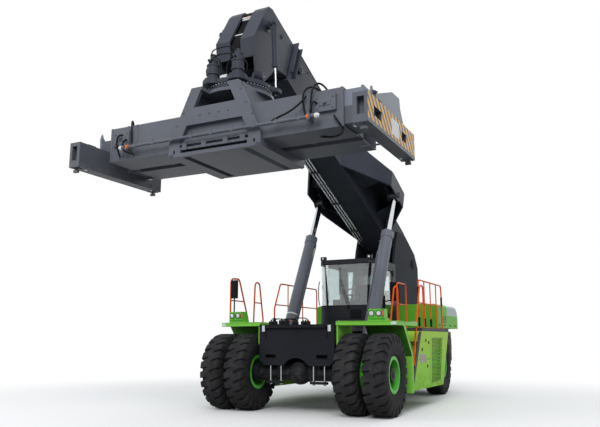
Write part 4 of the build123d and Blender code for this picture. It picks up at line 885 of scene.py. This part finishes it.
finished(on_boom(mouth), "boom_mouth_pads", boom_charcoal, "outer_boom")
finished(on_boom(mirrored(gussets)), "wing_gussets", boom_charcoal, "outer_boom", smooth=None)
finished(on_boom(mirrored(work_lamps)), "boom_lamps", hose_black, "outer_boom")
finished(on_boom(mirrored(lamp_faces)), "boom_lamp_faces", lamp_glass, "outer_boom")
chrome_tones = ((226, 229, 232), (204, 208, 212))
chrome = mottled("rod_chrome", (5,), *chrome_tones, (30, 3), 0.12, 0.10, Metallic=1.0)
skin = Finish("pipe_steel")
reach = (pivot_y - skin.y) * 0.92587 + (skin.z - pivot_z) * 0.37784
clamps = skin.step(abs((reach - 0.5) % 1.4 - 0.7), 0.0325, 0.0315)
tone = skin.mix(skin.noise(9), (216, 219, 222), (188, 192, 196))
skin.wire(Base_Color=skin.mix(clamps, tone, (34, 35, 38)), Metallic=1 - clamps, Roughness=clamps * 0.3 + 0.18)
dress(skin, "boom_pipes")

# ---------------------------------------------------------------- lift cylinders
# Long barrels in satin grey on pinned feet, with a white band near the foot, oil pipes in clamps and
# a bolted gland, and hard chromed rods whose eyes are painted dark.
barrel_grey = paint("barrel_grey", (112, 116, 126), (98, 102, 112), roughness=0.36, dust=0.15, shine=0.3)
dress(barrel_grey, "lift_barrels")
foot_x, foot_y, foot_z = 1.060, -0.594, 1.180
gland_z = 3.380               # up the barrel from the foot's pin
skin = Finish("lift_rod_chrome")
along = (skin.y - foot_y) * 0.47795 + (skin.z - foot_z) * 0.87838
eye = skin.step(along, 4.44, 4.445)
skin.wire(Base_Color=skin.mix(eye, skin.mix(skin.noise(5), *chrome_tones), (52, 54, 60)), Metallic=1 - eye,
          Roughness=eye * 0.3 + 0.12)
dress(skin, "lift_rods")
band_white = paint("band_white", (228, 230, 230), (206, 208, 208), roughness=0.45)
foot = Matrix.Translation((0, foot_y, foot_z)) @ Matrix.Rotation(radians(-28.5508), 4, "X")
bands, lift_valves = bmesh.new(), bmesh.new()
turned(bands, ((0, 0.1475), (0.002, 0.1490), (0.038, 0.1490), (0.040, 0.1475)), (foot_x, 0, 1.000), UP, steps=48,
       closed=False)
for z in (0.70, 1.20, 1.70, 2.20, 2.70, 3.10):
    plate(lift_valves, (foot_x - 0.172, -0.050, z - 0.018), (foot_x - 0.128, 0.050, z + 0.018))
plate(lift_valves, (foot_x - 0.215, -0.075, 0.32), (foot_x - 0.135, 0.075, 0.46), edge=0.008)
turned(lift_valves, knob(0.100, 0.012, 0.016, 0.094), (foot_x, 0, gland_z), UP, steps=40)
for shape in (bands, lift_valves):
    mirrored(shape)
paired(lift_valves, knob(0.026, 0.05, 0.055, 0.020), [(foot_x - 0.175, -0.05, 0.40)], AHEAD)
paired(lift_valves, bolt_head, [(foot_x + x, y, gland_z) for x, y in around(12, 0.138)], UP)
for shape in (bands, lift_valves):
    bmesh.ops.transform(shape, matrix=foot, verts=shape.verts)
finished(bands, "lift_bands", band_white, "lift_barrels")
finished(lift_valves, "lift_valves", barrel_grey, "lift_barrels")
lift_pipes = both(*([tuple(foot @ Vector((foot_x + x, y, z))) for x, z in
                     ((-0.175, 0.44), (-0.172, 0.62), (-0.172, end - 0.1), (-0.168, end), (-0.145, end + 0.03))]
                    for y, end in ((-0.026, 2.80), (0.026, 3.16))))
hose("lift_pipes", lift_pipes, 0.013, barrel_grey, "lift_barrels", order=2)
hose("lift_feed_hoses", both([(0.86, -0.66, 1.22), (0.80, -0.72, 1.55), (0.66, -0.60, 1.80), (0.55, -0.30, 1.84)]),
     0.020, hose_black, "chassis")

# ---------------------------------------------------------------- boom head
# Cheek plates with an open channel between two front flanges, down which hoses run in clamp bars
# from a bright manifold; bolted caps hold the head's pins.
head_grey = paint("head_grey", (68, 71, 80), (56, 59, 67), dust=0.2, shine=0.08)
dress(head_grey, "boom_head")
alloy = mottled("manifold_alloy", (22, 4), (226, 228, 228), (176, 178, 180), (40,), 0.2, 0.32, Metallic=0.5)
manifold, pin_caps, caps = bmesh.new(), bmesh.new(), bmesh.new()
plate(manifold, (-0.105, -9.735, 0.335), (0.105, -9.665, 0.425), edge=0.006)
plate(manifold, (-0.112, -9.800, -0.165), (0.112, -9.770, -0.135))
plate(manifold, (-0.105, -9.70, 0.235), (0.105, -9.675, 0.26), edge=0.003)
for k in range(5):
    turned(manifold, knob(0.016, 0.02, 0.024, 0.011), (-0.08 + 0.04 * k, -9.735, 0.38), AHEAD, steps=6)
for x, y, z, radius in ((0.455, -9.366, -0.949, 0.090), (0.430, -9.630, 0.175, 0.150), (0.430, -9.05, 0.45, 0.05)):
    turned(pin_caps, knob(radius, 0.010, 0.014, radius - 0.006), (x, y, z), LEFT, steps=36)
    for dy, dz in around(6, radius - 0.022):
        turned(pin_caps, knob(0.011, 0.009, 0.011, 0.008), (x + 0.013, y + dy, z + dz), LEFT, steps=6)
for x in (-0.084, 0.0, 0.056):
    turned(caps, knob(0.015, 0.03, 0.034, 0.010), (x, -9.700, 0.43), (0, -0.2, 1), steps=12)
random.seed(11)
head_hoses = []
for k in range(7):
    x = -0.084 + 0.028 * k
    sway = random.uniform(-0.008, 0.008)
    head_hoses += [boom_line((x, 8.75, 0.718), (x, 9.25, 0.716), (x + sway, 9.40, 0.716), (x + sway, 9.60, 0.665),
                             (x, 9.700, 0.570), (x, 9.700, 0.43)),
                   boom_line((x, 9.70, 0.335), (x + sway * 2, 9.715, 0.18), (x - sway, 9.745, 0.02),
                             (x, 9.785, -0.15), (x + sway, 9.81, -0.33), (x, 9.79, -0.50), (x * 1.4, 9.72, -0.66))]
finished(on_boom(manifold), "head_manifold", alloy, "inner_boom")
finished(on_boom(mirrored(pin_caps)), "head_pin_caps", head_grey, "inner_boom")
hose("head_hoses", head_hoses, 0.0115, hose_black, "inner_boom")
finished(on_boom(caps), "head_hose_caps", cap_orange, "inner_boom")

# ---------------------------------------------------------------- levelling cylinders
# Slim cylinders that damp the spreader's swing, pinned to the boom's head and to the slewing head:
# charcoal painted barrels and chromed rods.
dress(boom_charcoal, "tilt_barrels")
dress(chrome, "tilt_rods")

# ---------------------------------------------------------------- slewing head
# Turned plate over a slewing ring whose bolts show bright under its rim, with two stepped gear
# motors, a valve block between them and hoses from one to the other.
head_black = paint("head_black", (68, 71, 79), (54, 57, 65), dust=0.2, shine=0.06)
dress(head_black, "slewing_head", "slewing_motors")
spreader_y, plate_top = -4.410, 6.200
ring_radius, motor_x, motor_y = 0.5995, 0.270, -4.920
ring_bolts, plate_bolts, slew_valve = bmesh.new(), bmesh.new(), bmesh.new()
for x, y in around(56, ring_radius):
    turned(ring_bolts, knob(0.012, 0.014, 0.018, 0.009), (x, spreader_y + y, 6.102), (x, y, -0.25 * ring_radius),
           steps=6)
for radius, z, count in ((0.150, 6.240, 12), (0.113, 6.370, 10), (0.078, 6.620, 6)):
    paired(plate_bolts, knob(0.011, 0.010, 0.012, 0.008),
           [(motor_x + x, motor_y + y, z) for x, y in around(count, radius)], UP)
paired(plate_bolts, knob(0.028, 0.07, 0.075, 0.022), [(motor_x, motor_y - 0.08, 6.58)], AHEAD, steps=12)
paired(plate_bolts, knob(0.022, 0.07, 0.075, 0.016), [(motor_x, motor_y + 0.06, 6.68)], LEFT, steps=12)
for x, y in around(30, 0.555, 0.5):
    turned(plate_bolts, bolt_head, (x, spreader_y + y, plate_top), UP, steps=6)
plate(slew_valve, (-0.075, -4.99, plate_top), (0.065, -4.89, 6.275), edge=0.008)
plate(slew_valve, (-0.05, -5.005, 6.215), (0.02, -4.985, 6.265))
for k in range(3):
    turned(slew_valve, knob(0.014, 0.02, 0.024, 0.010), (-0.05 + 0.045 * k, -4.94, 6.275), UP, steps=6)
finished(ring_bolts, "slew_ring_bolts", steel, "slewing_head")
finished(plate_bolts, "slew_plate_bolts", head_black, "slewing_head")
finished(slew_valve, "slew_valve", alloy, "slewing_head")
slew_hoses = both([(0.36, -4.92, 6.56), (0.45, -4.90, 6.50), (0.44, -4.86, 6.34), (0.36, -4.84, 6.24)])
slew_hoses += [[(-0.27, -4.98, 6.70), (-0.25, -5.04, 6.77), (0, -5.05, 6.80), (0.25, -5.03, 6.77),
                (0.27, -4.98, 6.70)],
               [(-0.27, -5.00, 6.60), (-0.16, -5.06, 6.64), (0.02, -5.05, 6.66), (0.18, -5.06, 6.63),
                (0.27, -5.00, 6.60)],
               [(-0.19, -4.92, 6.66), (-0.10, -4.95, 6.60), (-0.06, -4.95, 6.42), (-0.05, -4.94, 6.29)],
               [(0.19, -4.92, 6.66), (0.10, -4.95, 6.58), (0.05, -4.95, 6.42), (0.04, -4.94, 6.29)]]
hose("slew_hoses", slew_hoses, 0.012, hose_black, "slewing_head")

# ---------------------------------------------------------------- spreader frame
# Welded frame that slides across the spreader's beams, with bolted pads at its feet and grease
# points in worn orange.
spreader_grey = paint("spreader_grey", (100, 103, 112), (84, 87, 95), roughness=0.45, dust=0.3)
dress(spreader_grey, "spreader_frame", "spreader_beams")
worn_orange = paint("worn_orange", (150, 84, 52), (96, 70, 58))
frame_bolts, grease = bmesh.new(), bmesh.new()
for face, ahead in ((-5.260, -1), (-3.560, 1)):
    paired(frame_bolts, ((0, 0.048), (0.012, 0.048), (0.016, 0.042), (0.016, 0.024), (0.030, 0.022)),
           [(0.905, face, 4.775)], (0, ahead, 0), steps=24)
    heads = ((0.79, 5.32), (0.83, 5.12), (0.66, 5.55), (0.56, 5.82), (0.1, 5.46), (0.3, 5.46))
    paired(frame_bolts, bolt_head, [(x, face, z) for x, z in heads], (0, ahead, 0))
    paired(grease, ((0, 0.009), (0.014, 0.008), (0.020, 0.004)), [(0.905, face + ahead * 0.028, 4.775)],
           (0, ahead, 0), steps=10)
for x in (-0.55, -0.42, 0.33, 0.46):
    for z in (4.881, 4.971):
        turned(grease, ((0, 0.010), (0.008, 0.009), (0.014, 0.004)), (x, -5.250, z), AHEAD, steps=10)
for x in (-0.62, -0.2, 0.25, 0.60):
    plate(frame_bolts, (x - 0.05, -5.262, 4.852), (x + 0.05, -5.246, 5.000))
finished(frame_bolts, "frame_bolts", spreader_grey, "spreader_frame")
finished(grease, "grease_points", worn_orange, "spreader_frame")

# ---------------------------------------------------------------- spreader beams
# Twin box beams with strap bands, the long drive pipe on clips in front, its orange collars and
# pale ends, and loops of black hose at both ends.
pipe_y, pipe_z = -5.320, 5.060
beam_trim, pipe_ends, collars = bmesh.new(), bmesh.new(), bmesh.new()
turned(collars, ((0, 0.034), (0.004, 0.046), (0.046, 0.046), (0.050, 0.034)), (1.86, pipe_y, pipe_z), LEFT)
turned(pipe_ends, ((0, 0.044), (0.05, 0.044), (0.056, 0.038), (0.08, 0.026)), (2.010, pipe_y, pipe_z), LEFT)
plate(beam_trim, (2.04, -5.236, 5.24), (2.24, -5.222, 5.34), edge=0.008)
mirrored(beam_trim)
paired(beam_trim, bolt_head, [(x, -5.225, z) for x in (2.00, 2.28) for z in (5.20, 5.38)], AHEAD)
paired(beam_trim, knob(0.030, 0.03, 0.036, 0.022), [(2.14, -5.236, 5.29)], AHEAD)
for x in (-2.42, -2.02, -1.80, 1.80, 2.42):
    plate(beam_trim, (x - 0.022, -5.176, 4.865), (x + 0.022, -5.168, 5.535), edge=0.003)
    plate(beam_trim, (x - 0.022, -5.176, 5.528), (x + 0.022, -4.505, 5.538), edge=0.003)
for k in range(9):
    x = -1.72 + 0.43 * k
    plate(beam_trim, (x - 0.012, -5.334, 5.080), (x + 0.012, -5.306, 5.118), edge=0.003)
    plate(beam_trim, (x - 0.030, -5.352, 5.026), (x + 0.030, -5.345, 5.094), edge=0.003)
    turned(beam_trim, knob(0.010, 0.012, 0.014, 0.007), (x, pipe_y, 5.118), UP, steps=6)
finished(beam_trim, "beam_trim", spreader_grey, "spreader_beams")
finished(mirrored(collars), "pipe_collars", cap_orange, "spreader_beams")
finished(mirrored(pipe_ends), "pipe_ends", alloy, "spreader_beams")
beam_hoses = [[(1.80, -5.23, 5.10), (1.74, -5.27, 5.40), (1.80, -5.22, 5.62), (1.92, -5.05, 5.66),
               (2.02, -4.98, 5.545)],
              [(1.90, -5.23, 5.12), (1.90, -5.28, 5.38), (1.95, -5.22, 5.66), (2.05, -5.08, 5.69),
               (2.12, -4.98, 5.545)],
              [(2.00, -5.23, 5.30), (1.97, -5.30, 5.34), (1.93, -5.31, 5.20), (1.90, -5.30, 5.10)],
              [(1.80, -5.22, 5.46), (1.76, -5.30, 5.34), (1.55, -5.318, 5.20), (1.30, -5.320, 5.13),
               (1.20, -5.320, 5.09)],
              [(2.30, -5.22, 5.05), (2.38, -5.24, 4.92), (2.42, -5.10, 4.84), (2.30, -4.90, 4.82),
               (2.05, -4.82, 4.82), (1.86, -4.80, 4.88)],
              [(-1.86, -5.23, 5.10), (-1.84, -5.28, 5.35), (-1.90, -5.22, 5.62), (-1.98, -5.08, 5.63),
               (-2.05, -4.98, 5.545)],
              [(-2.00, -5.23, 5.25), (-2.03, -5.30, 5.20), (-2.02, -5.31, 5.05), (-1.95, -5.30, 4.97),
               (-1.80, -5.22, 4.93)],
              [(-2.10, -5.23, 5.35), (-2.16, -5.30, 5.36), (-2.20, -5.29, 5.12), (-2.16, -5.20, 4.92)]]
hose("beam_hoses", beam_hoses, 0.017, hose_black, "spreader_beams")

# ---------------------------------------------------------------- end beams
# Box beams with the four twistlocks' plates and lamps; hazard stripes in amber and grey on their
# outer faces with a bare white plate, a lighter guide fin and a bolted guide bracket; the left one
# has a hanging feeler.
under, lock_x, neck_x = 4.7205, 2.9265, 2.620
lock_places = (-5.5395, -3.2805)        # along the beams
for name, side in both_sides:
    body = f"end_beam_{name}"
    skin = Finish(f"end_beam_paint_{name}", Specular_IOR_Level=0.2)
    outward = skin.step(skin.x * side, 3.0275, 3.0285)
    bare = (skin.y > -4.500) * (skin.y < -4.110) * (skin.z > 4.850) * (skin.z < 5.130) * outward
    amber = skin.step(abs((skin.y + skin.z * 0.895) * 5.4 % 1.0 - 0.5), 0.245, 0.255)
    chipped = skin.step(skin.noise(26, 6), 0.66, 0.70)
    dull = skin.mix(skin.noise(1.2, 4), (94, 97, 106), (80, 83, 91))
    dull = skin.mix(skin.step(skin.z, 5.206, 5.210) * 0.8, dull, (122, 129, 142))
    striped = skin.mix(amber * (1 - chipped * 0.6), (88, 92, 104), (242, 180, 60))
    striped = skin.mix(bare, striped, (222, 224, 224))
    worn_low = skin.step(skin.noise(12, 5), 0.45, 0.75) * (1 - skin.step(skin.z, 4.74, 4.86))
    tone = skin.mix(outward * skin.step(skin.z, 4.782, 4.786), dull, striped)
    skin.wire(Base_Color=skin.mix(worn_low * 0.3, tone, road_dust),
              Roughness=skin.noise(30) * 0.12 + 0.40 + worn_low * 0.2)
    skin.bumps(skin.noise(150, 2), 0.0006, 0.35)
    dress(skin, body)
    lock_trim, lamps, bracket = bmesh.new(), bmesh.new(), bmesh.new()
    for y, lamp_y in zip(lock_places, (-5.3795, -3.4405)):
        turned(lock_trim, knob(0.075, 0.012, 0.016, 0.068), (lock_x, y, under), DOWN, steps=28)
        turned(lamps, knob(0.026, 0.015, 0.019, 0.020), (2.84, lamp_y, 4.722), DOWN, steps=20)
    neck_y = spreader_y - side * 0.660
    turned(lock_trim, ((0, 0.060), (0.040, 0.060), (0.046, 0.054), (0.046, 0.044)), (neck_x, neck_y, 4.910), DOWN,
           steps=28)
    turned(lamps, ((0, 0.046), (0.006, 0.042), (0.012, 0.030), (0.015, 0.010)), (neck_x, neck_y, 4.868), DOWN,
           steps=28)
    for y in (-5.56, -5.30, -3.52, -3.26):
        for z in (4.80, 5.15):
            turned(lock_trim, bolt_head, (2.780, y, z), (-1, 0, 0), steps=6)
    if name == "left":
        plate(lock_trim, (2.84, -4.95, 4.56), (2.88, -4.91, 4.722))
        plate(lock_trim, (2.64, -4.955, 4.545), (2.96, -4.905, 4.565))
    plate(lock_trim, (2.79, -5.40, 5.205), (2.98, -5.20, 5.222), edge=0.006)
    plate(bracket, (2.878, -4.900, 5.200), (2.965, -4.770, 5.320), edge=0.010)
    plate(bracket, (2.878, -4.985, 5.200), (2.905, -4.880, 5.470), edge=0.008)
    turned(bracket, ((0, 0.034), (0.020, 0.034), (0.026, 0.028), (0.026, 0.014), (0.050, 0.012)),
           (2.900, -4.935, 5.435), LEFT, steps=20)
    turned(bracket, knob(0.026, 0.016, 0.022, 0.018), (2.960, -4.835, 5.262), LEFT, steps=6)
    on_side(lock_trim, side)
    for y in lock_places:
        for dx, dy in around(4, 0.095, 0.5):
            turned(lock_trim, bolt_head, (side * lock_x + dx, y + dy, under), DOWN, steps=6)
    finished(on_side(bracket, side), f"guide_bracket_{name}", head_black, body)
    finished(lock_trim, f"lock_plates_{name}", spreader_grey, body)
    finished(on_side(lamps, side), f"end_lamps_{name}", lamp_glass, body)
